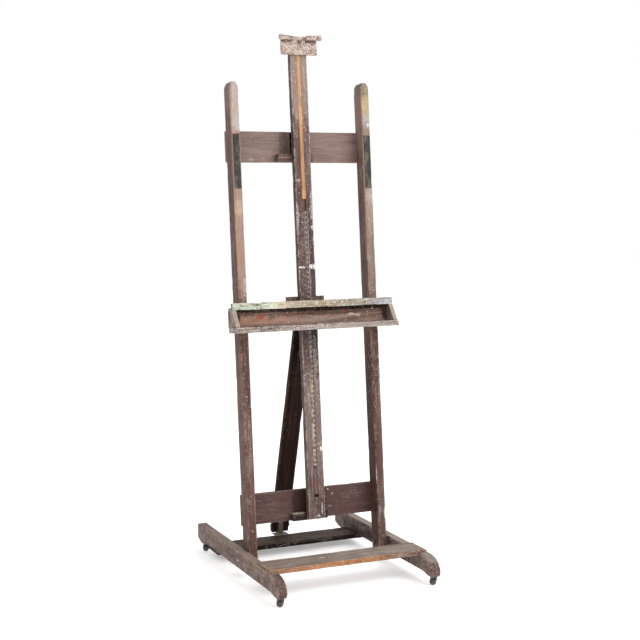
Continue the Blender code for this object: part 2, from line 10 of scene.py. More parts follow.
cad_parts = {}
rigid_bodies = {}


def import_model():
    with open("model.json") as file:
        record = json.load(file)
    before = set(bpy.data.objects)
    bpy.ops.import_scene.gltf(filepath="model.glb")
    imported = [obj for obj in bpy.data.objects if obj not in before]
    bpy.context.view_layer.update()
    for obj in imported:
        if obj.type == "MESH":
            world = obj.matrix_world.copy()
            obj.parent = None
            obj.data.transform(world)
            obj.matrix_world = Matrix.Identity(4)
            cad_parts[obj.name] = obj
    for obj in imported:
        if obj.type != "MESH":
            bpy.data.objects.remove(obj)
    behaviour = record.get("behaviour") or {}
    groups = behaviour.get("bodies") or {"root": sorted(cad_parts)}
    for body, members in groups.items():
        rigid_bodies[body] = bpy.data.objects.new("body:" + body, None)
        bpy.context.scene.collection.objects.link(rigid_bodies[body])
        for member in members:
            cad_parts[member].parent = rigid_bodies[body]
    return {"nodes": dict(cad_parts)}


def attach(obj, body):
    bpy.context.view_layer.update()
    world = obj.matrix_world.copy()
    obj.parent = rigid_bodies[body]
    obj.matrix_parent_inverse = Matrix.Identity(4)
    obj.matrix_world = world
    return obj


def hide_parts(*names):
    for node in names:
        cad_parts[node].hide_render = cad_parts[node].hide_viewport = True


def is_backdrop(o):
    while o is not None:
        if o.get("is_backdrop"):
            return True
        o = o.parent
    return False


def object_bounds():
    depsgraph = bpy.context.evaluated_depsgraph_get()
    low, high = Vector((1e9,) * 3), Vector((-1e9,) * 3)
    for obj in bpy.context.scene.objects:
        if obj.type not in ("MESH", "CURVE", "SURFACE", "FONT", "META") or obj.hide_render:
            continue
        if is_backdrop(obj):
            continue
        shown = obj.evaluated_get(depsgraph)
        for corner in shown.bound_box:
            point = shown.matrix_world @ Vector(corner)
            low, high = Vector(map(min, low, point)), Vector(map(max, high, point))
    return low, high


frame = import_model()
cad_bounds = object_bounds()

# ---- sizes shared with the CAD model, metres ----
MIDDLE_Y = 0.04875
LEAN = math.radians(5.77)
LEAN_Y = -0.0194 - MIDDLE_Y
STRUT_ANGLE = math.radians(15.62)
STRUT_FOOT = (0.387 - MIDDLE_Y, 0.083)
RUNNER_IN = 0.2892
RUNNER_MIDDLE = 0.3075
RUNNER_OUT = 0.3257
UPRIGHT_IN = 0.2555
UPRIGHT_OUT = 0.2888
UPRIGHT_DEPTH = 0.0636
UPRIGHT_TOP = {"left": 1.8705, "right": 1.88}
BOARD_FRONT = 0.064
BOARD_BACK = 0.0806
MAST_HALF = 0.0343
MAST_FRONT = 0.0096
MAST_BACK = 0.0351
BEHIND_MAST = (0.0354, 0.0637)
KEEPER_N = (0.0358, 0.049)
GROOVE_FLOOR = 0.018
SLIDE_FACE = 0.0098
TRAY_HALF = 0.3348
TRAY_FRONT = -0.09
TRAY_INSIDE = -0.019
CHEEK_IN = 0.3173
RACK_FACE = 0.0106
RACK_LOW = 0.4085
TOOTH_PITCH = 0.019
FRAME_PIVOT_N = 0.042

# the wood is drawn along its own axes (x, depth n, length s) and then set in place
BASE = Matrix.Translation((0.0, -MIDDLE_Y, 0.0))
LEANING = Matrix.Translation((0.0, LEAN_Y, 0.0)) @ Matrix.Rotation(-LEAN, 4, "X")
STRUT = Matrix.Translation((0.0, *STRUT_FOOT)) @ Matrix.Rotation(STRUT_ANGLE, 4, "X")
SIDES = ((-1, "left"), (1, "right"))
EVEN = (1, 1, 1)


def paint(colour):
    """What a colour socket takes: a link, linear values, or 0-255 steps made linear."""
    if isinstance(colour, bpy.types.NodeSocket) or len(colour) == 4:
        return colour
    steps = [value / 255.0 for value in colour]
    return (*(value / 12.92 if value <= 0.04045 else ((value + 0.055) / 1.055) ** 2.4
            for value in steps), 1.0)


# ---- materials: a colour is (red, green, blue) in 0-255 steps, a factor has four numbers ----
class Shade:
    """One material and short ways to add nodes to it."""

    def __init__(self, name, roughness=0.6, metallic=0.0, specular=0.5):
        self.mat = bpy.data.materials.new(name)
        self.mat.use_nodes = True
        self.nodes = self.mat.node_tree.nodes
        self.shader = self.nodes["Principled BSDF"]
        self.feed(self.shader, ("Roughness", roughness), ("Metallic", metallic),
            ("Specular IOR Level", specular))
        self.coord = self.nodes.new("ShaderNodeTexCoord").outputs["Object"]
        self.made = {}

    def feed(self, node, *inputs):
        """Link or set inputs of a node, given as (socket, value) pairs."""
        for socket, value in inputs:
            if isinstance(value, bpy.types.NodeSocket):
                self.mat.node_tree.links.new(value, node.inputs[socket])
            else:
                node.inputs[socket].default_value = value

    def add(self, kind, *inputs, **settings):
        """A new node with its settings and inputs."""
        node = self.nodes.new("ShaderNode" + kind)
        for key, value in settings.items():
            setattr(node, key, value)
        self.feed(node, *inputs)
        return node

    def place(self, stretch, shift):
        return self.add("Mapping", ("Vector", self.coord), ("Scale", stretch),
            ("Location", (shift, shift * 1.7, shift * 0.6))).outputs[0]

    def noise(self, scale, stretch=EVEN, detail=4.0, rough=0.55, distort=0.0, seed=0.0):
        return self.add("TexNoise", ("Vector", self.place(stretch, seed)), ("Scale", scale),
            ("Detail", detail), ("Roughness", rough),
            ("Distortion", distort)).outputs[0]

    def span(self, value, low, high, new_low=0.0, new_high=1.0, interpolation="SMOOTHSTEP"):
        """A value that goes from new_low to new_high while another goes from low to high."""
        return self.add("MapRange", ("Value", value), ("From Min", low), ("From Max", high),
            ("To Min", new_low), ("To Max", new_high), interpolation_type=interpolation).outputs[0]

    def math(self, operation, first, second=0.0, third=0.5):
        return self.add("Math", (0, first), (1, second), (2, third), operation=operation).outputs[0]

    def times(self, first, second):
        return self.math("MULTIPLY", first, second)

    def plus(self, first, second):
        return self.math("ADD", first, second)

    def mix(self, factor, first, second, blend="MIX"):
        return self.add("Mix", (0, factor), (6, paint(first)), (7, paint(second)),
            data_type="RGBA", blend_type=blend).outputs[2]

    def lay(self, colour, amount, strength, tint):
        """The colour with a tint laid over it, where and as far as the amount says."""
        return self.mix(self.times(amount, strength), colour, tint)

    def ramp(self, value, *stops):
        node = self.add("ValToRGB", (0, value))
        elements = node.color_ramp.elements
        for element, (position, colour) in zip(elements, (stops[0], stops[-1])):
            element.position, element.color = position, paint(colour)
        for position, colour in stops[1:-1]:
            elements.new(position).color = paint(colour)
        return node.outputs[0]

    def weigh(self, colour, factor, value, *stops):
        """The colour made darker or lighter by a ramp of factors."""
        return self.mix(factor, colour, self.ramp(value, *stops), "MULTIPLY")

    def axis(self, index):
        return self.add("SeparateXYZ", (0, self.coord)).outputs[index]

    def along(self, direction):
        """How far the point lies along a direction, metres."""
        return self.add("VectorMath", (0, self.coord), (1, direction),
            operation="DOT_PRODUCT").outputs["Value"]

    def attribute(self, name):
        return self.add("Attribute", attribute_name=name).outputs["Fac"]

    def spots(self, scale, radius, share, seed=0.0, stretch=EVEN):
        """Scattered round flecks: radius within the cell, share of cells that have one."""
        cells = self.add("TexVoronoi", ("Vector", self.place(stretch, seed)), ("Scale", scale))
        split = self.add("SeparateColor", (0, cells.outputs["Color"]))
        size = self.times(split.outputs[1], radius)
        inside = self.span(self.math("SUBTRACT", size, cells.outputs["Distance"]), -0.02, 0.03)
        return self.times(inside, self.math("LESS_THAN", split.outputs[0], share))

    def once(self, key, build):
        """A value several marks share, made the first time it is asked for."""
        if key not in self.made:
            self.made[key] = build()
        return self.made[key]

    def mark(self, centre, radii, ragged=0.5, seed=0.0, grain=(1, 1, 0.12), broken=0.0):
        """A ragged patch: 1 inside a ragged ellipsoid, broken up along the grain; it places paint
        smears and also painted shade.
        """
        near = self.add("Mapping", ("Vector", self.coord),
            ("Scale", [1.0 / radius for radius in radii]),
            ("Location", [-c / r for c, r in zip(centre, radii)])).outputs[0]
        away = self.add("VectorMath", (0, near), operation="LENGTH").outputs["Value"]
        fringe = self.once("fringe", lambda: self.plus(
            self.times(self.noise(90.0, (1, 1, 0.5), 5.0, 0.7, seed=seed), 1.6),
            self.times(self.noise(260.0, grain, 4.0, 0.7, seed=seed + 2.0), 1.4)))
        edge = self.math("MULTIPLY_ADD", fringe, ragged, away)
        middle = 0.85 + ragged * 1.5
        inside = self.span(edge, middle + 0.16, middle - 0.16)
        if not broken:
            return inside
        flaked = self.once("flaked", lambda: self.noise(240.0, EVEN, 6.0, 0.75, 0.4, seed + 5.0))
        low = 0.4 + 0.06 * broken
        return self.times(inside, self.span(flaked, low, 0.5 + 0.06 * broken))

    def bump(self, height, distance=0.001, strength=1.0):
        node = self.add("Bump", ("Strength", strength), ("Distance", distance),
            ("Height", height))
        self.feed(self.shader, ("Normal", node.outputs[0]))

    def finish(self, colour, roughness=None):
        self.feed(self.shader, ("Base Color", paint(colour)))
        if roughness is not None:
            self.feed(self.shader, ("Roughness", roughness))
        return self.mat


def along_grain(grain, scale):
    """A noise stretch: 1 across the grain and less along it."""
    return tuple(scale if axis == grain else 1.0 for axis in "xyz")


def old_wood(name, tones, grain="z", worn=(150, 112, 92), worn_amount=0.6,
        dust=(150, 140, 134), dust_amount=0.35, flecks=0.5, marks=(), seed=0.0,
        roughness=0.62, fades_and_shade=(), contrast=1.0, fleck_tint=(200, 190, 180),
        scratches=0.0, gloss=0.22, front=None):
    """Stained wood gone grey with use: grain, rubbed edges, dust, flecks, paint marks, and the painted
    light and shade some callers list.
    """
    shade = Shade(name, roughness, specular=gloss)
    stretch = along_grain(grain, 0.06)
    smeared = along_grain(grain, 0.12)
    broad = shade.noise(55.0, stretch, 6.0, 0.6, 0.8, seed)
    spread = 0.21 / contrast
    colour = shade.ramp(broad, (0.51 - spread, tones[0]), (0.51, tones[1]),
        (min(0.98, 0.51 + spread), tones[2]))
    # Each entry lays a tone over a ragged patch: faded, weathered wood, and also the painted shade and
    # painted light some callers list.
    for centre, radii, tint, ragged, strength in fades_and_shade:
        fade_and_shade_mask = shade.mark(centre, radii, ragged, seed, smeared)
        colour = shade.lay(colour, fade_and_shade_mask, strength, tint)
    # An optional face, picked by its direction, gets its own tint: the tray cheeks use it for a painted
    # highlight on their slanted front face.
    if front:
        direction, low, high, tint = front
        colour = shade.mix(shade.span(shade.along(direction), high, low), colour, tint)
    fibre = shade.noise(420.0, along_grain(grain, 0.025), 3.0, 0.7, 0.2, seed + 3.0)
    deep = 1.0 - 0.38 * contrast
    colour = shade.weigh(colour, 1.0, fibre, (0.3, (deep, deep * 0.97, deep * 0.96, 1)),
        (0.62, (1.12, 1.1, 1.09, 1)))
    pores = shade.noise(150.0, stretch, 6.0, 0.75, 0.6, seed + 6.0)
    colour = shade.weigh(colour, 0.9 * contrast, pores, (0.3, (0.72, 0.7, 0.7, 1)),
        (0.5, (1, 1, 1, 1)), (0.7, (1.2, 1.19, 1.18, 1)))
    patches = shade.span(shade.noise(7.0, (1, 1, 0.6), 5.0, 0.6, 0.5, seed + 9.0), 0.45, 0.75)
    streaks = shade.span(shade.noise(130.0, stretch, 5.0, 0.7, 0.4, seed + 5.0), 0.46, 0.7)
    colour = shade.lay(colour, shade.times(patches, streaks), dust_amount * 2, dust)
    rub = shade.span(shade.noise(38.0, EVEN, 5.0, 0.65, 0.3, seed + 2.0), 0.4, 0.66)
    colour = shade.lay(colour, shade.times(shade.attribute("wear"), rub), worn_amount, worn)
    thickness = shade.times(streaks, 0.12)
    if flecks:
        gate = shade.span(shade.noise(9.0, (1, 1, 0.7), 3.0, seed=seed + 12.0), 0.4, 0.62)
        for scale, size, share, glow, shift in ((210.0, 0.4, 0.14, 0.8, 1.0),
                (380.0, 0.4, 0.2, 0.55, 4.0),
                (120.0, 0.26, 0.05, 0.95, 7.0)):
            fleck = shade.spots(scale, size, share * flecks * 1.6, seed + shift, (1, 1, 0.75))
            fleck = shade.times(fleck, gate)
            colour = shade.lay(colour, fleck, glow, fleck_tint)
            thickness = shade.plus(thickness, shade.times(fleck, 0.6))
    if scratches:
        gate = shade.span(shade.noise(16.0, (1, 1, 0.6), 4.0, 0.6, seed=seed + 15.0), 0.4, 0.62)
        for lay, shift in (((0.16, 1, 1), 1.0), ((1, 1, 0.1), 2.0)):
            line = shade.noise(330.0, lay, 3.0, 0.6, 0.7, seed + 16.0 + shift)
            line = shade.times(shade.span(line, 0.6, 0.68), gate)
            colour = shade.lay(colour, line, scratches, fleck_tint)
            thickness = shade.math("SUBTRACT", thickness, shade.times(line, 0.4))
    for centre, radii, tint, ragged, strength in marks:
        smear = shade.mark(centre, radii, ragged, seed, smeared, ragged)
        colour = shade.lay(colour, smear, strength, tint)
        thickness = shade.plus(thickness, shade.times(smear, 0.8))
    grime = shade.noise(320.0, EVEN, 4.0, 0.7, 0.2, seed + 8.0)
    colour = shade.weigh(colour, 0.8, grime, (0.32, (0.74, 0.73, 0.72, 1)),
        (0.52, (1, 1, 1, 1)), (0.7, (1.12, 1.12, 1.12, 1)))
    height = shade.plus(thickness, shade.times(fibre, 0.35))
    shade.bump(shade.plus(height, shade.times(broad, 0.6)), 0.0008, 0.8)
    return shade.finish(colour, shade.span(broad, 0.3, 0.7, roughness - 0.12, roughness + 0.14))


def on_face(depth, *rows):
    """Marks on one face, as (x, s, radius x, radius n, radius s, colour, ragged, strength)."""
    return tuple(((x, depth, s), (rx, rn, rs), *look) for x, s, rx, rn, rs, *look in rows)


def crust(name, tones, seed, lumps, flecks, patches_and_shadows):
    """Thick dried oil paint in layers of different colours."""
    shade = Shade(name, 0.5, specular=0.45)
    body = shade.noise(34.0, EVEN, 8.0, 0.68, 1.1, seed)
    colour = shade.ramp(body, *tones)
    # Listed patches over the paint, among them painted shadow under the lips.
    for centre, radii, tint, ragged, strength in patches_and_shadows:
        patch_and_shadow = shade.mark(centre, radii, ragged, seed, (0.3, 1, 1))
        colour = shade.lay(colour, patch_and_shadow, strength, tint)
    for scale, size, share, tint, shift in flecks:
        colour = shade.lay(colour, shade.spots(scale, size, share, seed + shift), 0.9, tint)
    small = shade.noise(lumps, EVEN, 6.0, 0.7, 0.6, seed + 4.0)
    colour = shade.weigh(colour, 0.85, small, (0.38, (0.2, 0.16, 0.15, 1)),
        (0.47, (0.65, 0.62, 0.59, 1)), (0.58, (1.06, 1.05, 1.02, 1)))
    shade.bump(shade.plus(small, shade.times(body, 1.5)), 0.0026, 1.0)
    return shade.finish(colour, shade.span(small, 0.3, 0.7, 0.35, 0.7))


def metal(name, tone, rust, roughness, metallic, seed, rusty):
    """Dull fastener metal with darker, rusty patches."""
    shade = Shade(name, roughness, metallic)
    blotch = shade.noise(160.0, EVEN, 6.0, 0.65, 0.4, seed)
    colour = shade.lay(tone, shade.span(blotch, 0.42, 0.66), rusty, rust)
    shade.bump(shade.noise(900.0, EVEN, 4.0, 0.6, seed=seed + 2.0), 0.0003, 0.6)
    return shade.finish(colour, shade.span(blotch, 0.3, 0.7, roughness - 0.08, roughness + 0.2))


STAIN = ((50, 35, 31), (86, 66, 59), (122, 101, 92))
STAIN_BOARD = ((80, 64, 60), (112, 94, 88), (138, 120, 114))
STAIN_RED = ((50, 34, 32), (76, 54, 51), (98, 75, 70))
STAIN_UPRIGHT = ((50, 31, 27), (86, 61, 53), (124, 97, 87))
DARK = ((20, 12, 10), (36, 22, 18), (60, 40, 34))
BARE = ((140, 98, 66), (176, 132, 92), (200, 162, 120))

# ---- mesh building ----
SEEDS = random.Random(7)
CUTTER = bpy.data.materials.new("cutter")


def linked(name, data):
    """A new object in the scene."""
    obj = bpy.data.objects.new(name, data)
    bpy.context.scene.collection.objects.link(obj)
    return obj


def to_mesh(name, bm):
    """The finished mesh of a bmesh."""
    mesh = bpy.data.meshes.new(name)
    bm.to_mesh(mesh)
    bm.free()
    return mesh


def new_object(name, bm, matrix, material):
    """A piece from a bmesh: smooth sides, flat ends."""
    bmesh.ops.recalc_face_normals(bm, faces=bm.faces[:])
    mesh = to_mesh(name, bm)
    mesh.materials.append(material)
    for poly in mesh.polygons:
        poly.use_smooth = len(poly.vertices) <= 4
    obj = linked(name, mesh)
    obj.matrix_world = matrix
    return obj


def bands(bm, rings):
    """Faces between each ring of vertices and the next."""
    for first, second in zip(rings, rings[1:]):
        for i in range(len(first)):
            j = (i + 1) % len(first)
            bm.faces.new((first[i], second[i], second[j], first[j]))


def applied(obj):
    """Make an object's modifiers part of its mesh."""
    graph = bpy.context.evaluated_depsgraph_get()
    mesh = bpy.data.meshes.new_from_object(obj.evaluated_get(graph))
    obj.modifiers.clear()
    obj.data = mesh
    return mesh


def settle(obj, body, nodes):
    """Put a finished piece on its body and hide the CAD solids it stands for."""
    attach(obj, body)
    if nodes:
        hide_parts(*nodes)


def build(make, body, slot, name, *sizes, **options):
    """Make a piece that stands for the CAD solid of the same name."""
    settle(make(name, *sizes, **options), body, (name,))


def uneven(point, seed, amount):
    """A small push in or out, the same every time for the same place."""
    place = Vector(point) + Vector((seed * 3.1, seed * 1.7, seed * 2.3))
    slow = noise.noise(place * 9.0)
    quick = noise.noise(place * 70.0)
    return amount * (0.7 * slow + 0.3 * quick)


def rounded_section(half_a, half_b, radius, flats_a, flats_b):
    """Points round a rectangle with round corners: (a, b, normal a, normal b, wear, corner)."""
    points = []
    corners = [(1, -1, -90), (1, 1, 0), (-1, 1, 90), (-1, -1, 180)]
    for index, (sign_a, sign_b, start) in enumerate(corners):
        centre_a = sign_a * (half_a - radius)
        centre_b = sign_b * (half_b - radius)
        for step in range(4):
            angle = math.radians(start + 30 * step)
            na, nb = math.cos(angle), math.sin(angle)
            wear = 1.0 if step in (1, 2) else 0.7
            points.append((centre_a + radius * na, centre_b + radius * nb, na, nb, wear, index))
        next_a, next_b, _ = corners[(index + 1) % 4]
        end = (next_a * (half_a - radius), next_b * (half_b - radius))
        angle = math.radians(start + 90)
        na, nb = round(math.cos(angle)), round(math.sin(angle))
        begin = (centre_a + radius * na, centre_b + radius * nb)
        finish = (end[0] + radius * na, end[1] + radius * nb)
        count = flats_b if index % 2 == 0 and na else flats_a
        length = math.dist(begin, finish)
        near = min(0.003, length * 0.25)
        places = [near / length] + [(i + 1) / (count + 1) for i in range(count)] \
            + [1 - near / length]
        places = sorted(p for p in set(places) if near / length <= p <= 1 - near / length)
        for part in places:
            points.append((begin[0] + (finish[0] - begin[0]) * part,
                    begin[1] + (finish[1] - begin[1]) * part, na, nb, 0.0, -1))
    return points


def plank(name, x_range, mid_range, up_range, along, material, matrix, radius=0.0022,
        step=0.014, amount=0.0004, dents=10, dent_depth=0.0018, reshape=None, flats=(2, 3),
        seed=None):
    """A worn length of timber: rounded edges that vary, dents and slight waviness."""
    seed = SEEDS.uniform(0, 50) if seed is None else seed
    rng = random.Random(int(seed * 1000))
    ranges = {"x": x_range, "y": mid_range, "z": up_range}
    order = {"x": ("y", "z"), "y": ("z", "x"), "z": ("x", "y")}[along]
    low, high = ranges[along]
    halves = [0.5 * (ranges[key][1] - ranges[key][0]) for key in order]
    middles = [0.5 * (ranges[key][1] + ranges[key][0]) for key in order]
    length = high - low
    hits = [(rng.uniform(low, high), rng.randrange(4), rng.uniform(0.3, 1.0) * dent_depth,
            rng.uniform(0.004, 0.02)) for _ in range(dents)]
    stations = [(low, 1.0, 0.0), (low + 0.25 * radius, 0.35, 0.8), (low + radius, 0.0, 0.6)]
    count = max(2, int((length - 2 * radius) / step))
    for i in range(1, count):
        stations.append((low + radius + (length - 2 * radius) * i / count, 0.0, 0.0))
    if reshape:
        stations += [(high - back, 0.0, 0.0) for back in
            (0.0275, 0.0235, 0.0195, 0.0155, 0.012, 0.009, 0.006, 0.0035)]
        stations.sort()
    stations += [(high - radius, 0.0, 0.6), (high - 0.25 * radius, 0.35, 0.8), (high, 1.0, 0.0)]
    bm = bmesh.new()
    wear_layer = bm.verts.layers.float.new("wear")

    def at(a, b, along_value):
        values = {order[0]: a + middles[0], order[1]: b + middles[1], along: along_value}
        return Vector((values["x"], values["y"], values["z"]))

    rings = []
    for place, inset, end_wear in stations:
        swell = 1.0 + 0.5 * noise.noise(Vector((place * 14.0, seed, 2.0)))
        edge = radius * max(0.4, swell)
        shrink = inset * radius
        section = rounded_section(halves[0] - shrink, halves[1] - shrink,
            max(edge - 0.5 * shrink, 0.0004), *flats)
        ring = []
        for a, b, na, nb, wear, corner in section:
            point = at(a, b, place)
            push = uneven(point, seed, amount)
            for spot, which, depth, width in hits:
                if which == corner and abs(place - spot) < 3 * width:
                    push -= depth * math.exp(-((place - spot) / width) ** 2)
            point = at(a + na * push, b + nb * push, place)
            if reshape:
                point = Vector(reshape(*point))
            vert = bm.verts.new(point)
            vert[wear_layer] = max(wear, end_wear)
            ring.append(vert)
        rings.append(ring)
    bands(bm, rings)
    bm.faces.new(rings[0])
    bm.faces.new(rings[-1])
    return new_object(name, bm, matrix, material)


def resampled(outline, step):
    """The outline with more points on its sides, about one to a step."""
    points = []
    for i, start in enumerate(outline):
        end = outline[(i + 1) % len(outline)]
        count = max(1, int(math.dist(start, end) / step))
        for k in range(count):
            points.append((start[0] + (end[0] - start[0]) * k / count,
                    start[1] + (end[1] - start[1]) * k / count))
    return points


def inward(outline):
    """A unit inward direction at each point of an outline that runs anticlockwise."""
    area = sum(outline[i - 1][0] * outline[i][1] - outline[i][0] * outline[i - 1][1]
        for i in range(len(outline)))
    sign = 1.0 if area > 0 else -1.0
    directions = []
    for i, point in enumerate(outline):
        before, after = outline[i - 1], outline[(i + 1) % len(outline)]
        first = Vector((point[0] - before[0], point[1] - before[1])).normalized()
        second = Vector((after[0] - point[0], after[1] - point[1])).normalized()
        normal = Vector((-(first.y + second.y), first.x + second.x)) * sign
        normal.normalize()
        turn = max(0.5, normal.dot(Vector((-first.y, first.x)) * sign))
        directions.append(normal / turn)
    return directions


def set_across(across, depth, a, b):
    """A point (a, b) of a section that lies across one axis, at a depth along it."""
    return {"x": (depth, a, b), "y": (a, depth, b), "z": (a, b, depth)}[across]


def slab(name, outline, low, high, across, material, matrix, radius=0.0022, step=0.012,
        amount=0.0004, seed=None):
    """A board cut to an outline, with rounded, slightly uneven edges."""
    seed = SEEDS.uniform(0, 50) if seed is None else seed
    points = resampled(outline, step)
    normals = inward(points)
    rings = [(low, radius, 0.6), (low + 0.3 * radius, 0.3 * radius, 1.0),
        (low + radius, 0.0, 0.6), (low + radius + 0.003, 0.0, 0.0)]
    count = max(1, int((high - low - 2 * radius) / 0.015))
    for i in range(1, count):
        rings.append((low + radius + (high - low - 2 * radius) * i / count, 0.0, 0.0))
    rings += [(high - radius - 0.003, 0.0, 0.0), (high - radius, 0.0, 0.6),
        (high - 0.3 * radius, 0.3 * radius, 1.0), (high, radius, 0.6)]
    bm = bmesh.new()
    wear_layer = bm.verts.layers.float.new("wear")
    made = []
    for depth, inset, wear in rings:
        ring = []
        for (a, b), normal in zip(points, normals):
            push = uneven((a, b, depth), seed, amount)
            a2 = a + normal.x * (inset - push)
            b2 = b + normal.y * (inset - push)
            vert = bm.verts.new(set_across(across, depth, a2, b2))
            vert[wear_layer] = wear
            ring.append(vert)
        made.append(ring)
    bands(bm, made)
    bm.faces.new(made[0])
    bm.faces.new(made[-1])
    return new_object(name, bm, matrix, material)


def turned(name, profile, centre, across, material, matrix, sides=36):
    """A round piece: profile lists (radius, position along its axis)."""
    bm = bmesh.new()
    rings = []
    for radius, along in profile:
        ring = []
        for i in range(sides):
            angle = 2.0 * math.pi * i / sides
            a = centre[0] + radius * math.cos(angle)
            b = centre[1] + radius * math.sin(angle)
            ring.append(bm.verts.new(set_across(across, along, a, b)))
        rings.append(ring)
    bm.faces.new(rings[0])
    bm.faces.new(list(reversed(rings[-1])))
    bands(bm, rings)
    obj = new_object(name, bm, matrix, material)
    obj.data.set_sharp_from_angle(angle=math.radians(38))
    return obj


def cut(obj, cutter):
    """Cut one mesh from another and keep only the result."""
    modifier = obj.modifiers.new("cut", "BOOLEAN")
    modifier.operation = "DIFFERENCE"
    modifier.solver = "EXACT"
    modifier.object = cutter
    applied(obj)
    bpy.data.objects.remove(cutter)
    return obj


def side_range(side, inner, outer):
    """The range between two distances from the middle, on the left (-1) or right (1)."""
    return (inner, outer) if side > 0 else (-outer, -inner)


def box_cutter(x_range, y_range, z_range, matrix):
    """A square cutter."""
    bm = bmesh.new()
    bmesh.ops.create_cube(bm, size=1.0)
    for vert in bm.verts:
        for axis, (low, high) in enumerate((x_range, y_range, z_range)):
            vert.co[axis] = low if vert.co[axis] < 0 else high
    obj = linked("cutter", to_mesh("cutter", bm))
    obj.matrix_world = matrix
    return obj


def rod_cutter(radius, centre, low, high, across, matrix):
    """A round cutter."""
    return turned("cutter", [(radius, low), (radius, high)], centre, across, matrix=matrix,
        material=CUTTER, sides=28)


def shape_cutter(outline, low, high, across, matrix):
    """A cutter with any outline."""
    return slab("cutter", outline, low, high, across, CUTTER, matrix, 0.0001, 3.0, 0.0)


# ---- base ----
RUNNER_OUTLINE = [
    (0.472, 0.049), (0.472, 0.1035), (0.469, 0.105),
    (-0.298, 0.105), (-0.32, 0.102), (-0.339, 0.0965), (-0.352, 0.0885),
    (-0.363, 0.078), (-0.371, 0.066), (-0.3745, 0.054), (-0.372, 0.043),
    (-0.366, 0.0345), (-0.34, 0.0345), (-0.327, 0.0375), (-0.311, 0.041),
    (-0.29, 0.043), (0.385, 0.043), (0.4, 0.0345), (0.434, 0.0345),
]
HOUSING_FRONT_Y = (-0.2683, -0.1497)
HOUSING_STOP = 0.0095
FRONT_BOARD_Y = (-0.268, -0.15)
FRONT_BOARD_Z = (0.0915, 0.111)
REAR_BOARD_Y = (0.258, 0.374)
REAR_BOARD_Z = (0.0262, 0.0455)
HOUSING_REAR_Y = (0.2577, 0.3743)
HOUSING_REAR_TOP = 0.0458
PIVOT = (0.0302 + MIDDLE_Y, 0.0734)
PIVOT_HOLE = 0.0045

# paints that turn up in several places; a mark is (centre, radii, colour, ragged, strength)
PAINT_WHITE = (214, 210, 204)
PAINT_CREAM = (206, 196, 168)
PAINT_BLUE = (176, 182, 190)
PAINT_PINK = (182, 158, 156)

runner_fading_and_shade = {
    "left": (((-RUNNER_MIDDLE, 0.05, 0.106), (0.03, 0.45, 0.005), (136, 120, 110), 0.6, 0.7),),
    "right": (
        ((RUNNER_MIDDLE, 0.05, 0.106), (0.03, 0.45, 0.005), (140, 130, 122), 0.6, 0.8),
        ((RUNNER_MIDDLE, -0.33, 0.1), (0.03, 0.06, 0.02), (134, 126, 120), 0.6, 0.7),
        # Darkens the right runner's inner face: painted shade on a face turned away from the light.
        ((RUNNER_IN, 0.1, 0.06), (0.006, 0.36, 0.07), (40, 20, 14), 0.5, 0.95)),
}
runner_marks = {
    "left": (
        ((-RUNNER_OUT, 0.022, 0.074), (0.012, 0.022, 0.006), PAINT_WHITE, 1.2, 0.8),
        ((-RUNNER_OUT, -0.2, 0.085), (0.012, 0.05, 0.006), (150, 138, 130), 0.7, 0.7)),
    "right": (((0.307, -0.05, 0.105), (0.014, 0.06, 0.006), (160, 146, 138), 0.8, 0.6),),
}
for side, label in SIDES:
    wood = old_wood("stained_wood_runner_" + label, STAIN, "y", (150, 130, 118), 0.8,
        (142, 130, 122), 0.45, 0.8, runner_marks[label], 3.0 + side,
        fades_and_shade=runner_fading_and_shade[label], scratches=0.4)
    runner = slab("runner_" + label, RUNNER_OUTLINE, *side_range(side, RUNNER_IN, RUNNER_OUT),
        "x", wood, BASE, 0.0026, 0.01, 0.0005)
    stop = RUNNER_OUT - HOUSING_STOP if side < 0 else RUNNER_OUT + 0.01
    runner = cut(runner, box_cutter(side_range(side, RUNNER_IN - 0.01, stop),
            HOUSING_FRONT_Y, (FRONT_BOARD_Z[0] - 0.0003, 0.13), BASE))
    runner = cut(runner, box_cutter((-0.4, 0.4), HOUSING_REAR_Y, (0.0, HOUSING_REAR_TOP), BASE))
    runner = cut(runner, rod_cutter(PIVOT_HOLE, PIVOT, -0.4, 0.4, "x", BASE))
    settle(runner, "base", ("runner_" + label,))

bare = old_wood(
    "bare_wood_front_board", ((78, 63, 54), (116, 99, 87), (158, 141, 128)), "x",
    (172, 124, 88), 0.8, (160, 150, 142), 0.8, 1.0,
    on_face(FRONT_BOARD_Y[0],
        (-0.1, 0.1, 0.25, 0.004, 0.02, (92, 64, 48), 1.6, 0.8),
        (0.16, 0.1, 0.2, 0.004, 0.02, (96, 66, 48), 1.6, 0.8))
    + (((-0.08, -0.2, 0.111), (0.01, 0.006, 0.004), PAINT_WHITE, 0.8, 0.9),),
    11.0, fades_and_shade=(
        ((-0.05, -0.27, 0.1), (0.3, 0.006, 0.03), (178, 120, 72), 0.9, 0.8),
        ((0.0, -0.21, 0.111), (0.4, 0.05, 0.004), (126, 115, 106), 0.8, 0.6)), scratches=0.6)
build(plank, "base", "bare_wood", "front_board",
      (-RUNNER_OUT + HOUSING_STOP + 0.0003, RUNNER_OUT - 0.0002), FRONT_BOARD_Y, FRONT_BOARD_Z, "x",
      bare, BASE, 0.003, flats=(5, 1), dents=14)
# The tones are the board's dark stain, darkened further as painted shade; the second fading entry is
# painted shade on the front face, the first a worn grey top.
rear = old_wood("stained_wood_rear_board", ((24, 15, 12), (46, 35, 30), (78, 65, 56)),
    "x", (90, 74, 62), 0.4, (120, 108, 96), 0.4, 0.25, (), 13.0,
    fades_and_shade=(
        ((0.0, 0.3, 0.0455), (0.6, 0.06, 0.004), (74, 62, 53), 0.5, 0.5),
        ((0.0, 0.257, 0.028), (0.9, 0.007, 0.03), (18, 9, 6), 0.1, 0.95)),
    scratches=0.5, gloss=0.08)
build(plank, "base", "stained_wood", "rear_board", (-0.317, 0.317), REAR_BOARD_Y, REAR_BOARD_Z, "x",
      rear, BASE, 0.0022, flats=(5, 1))


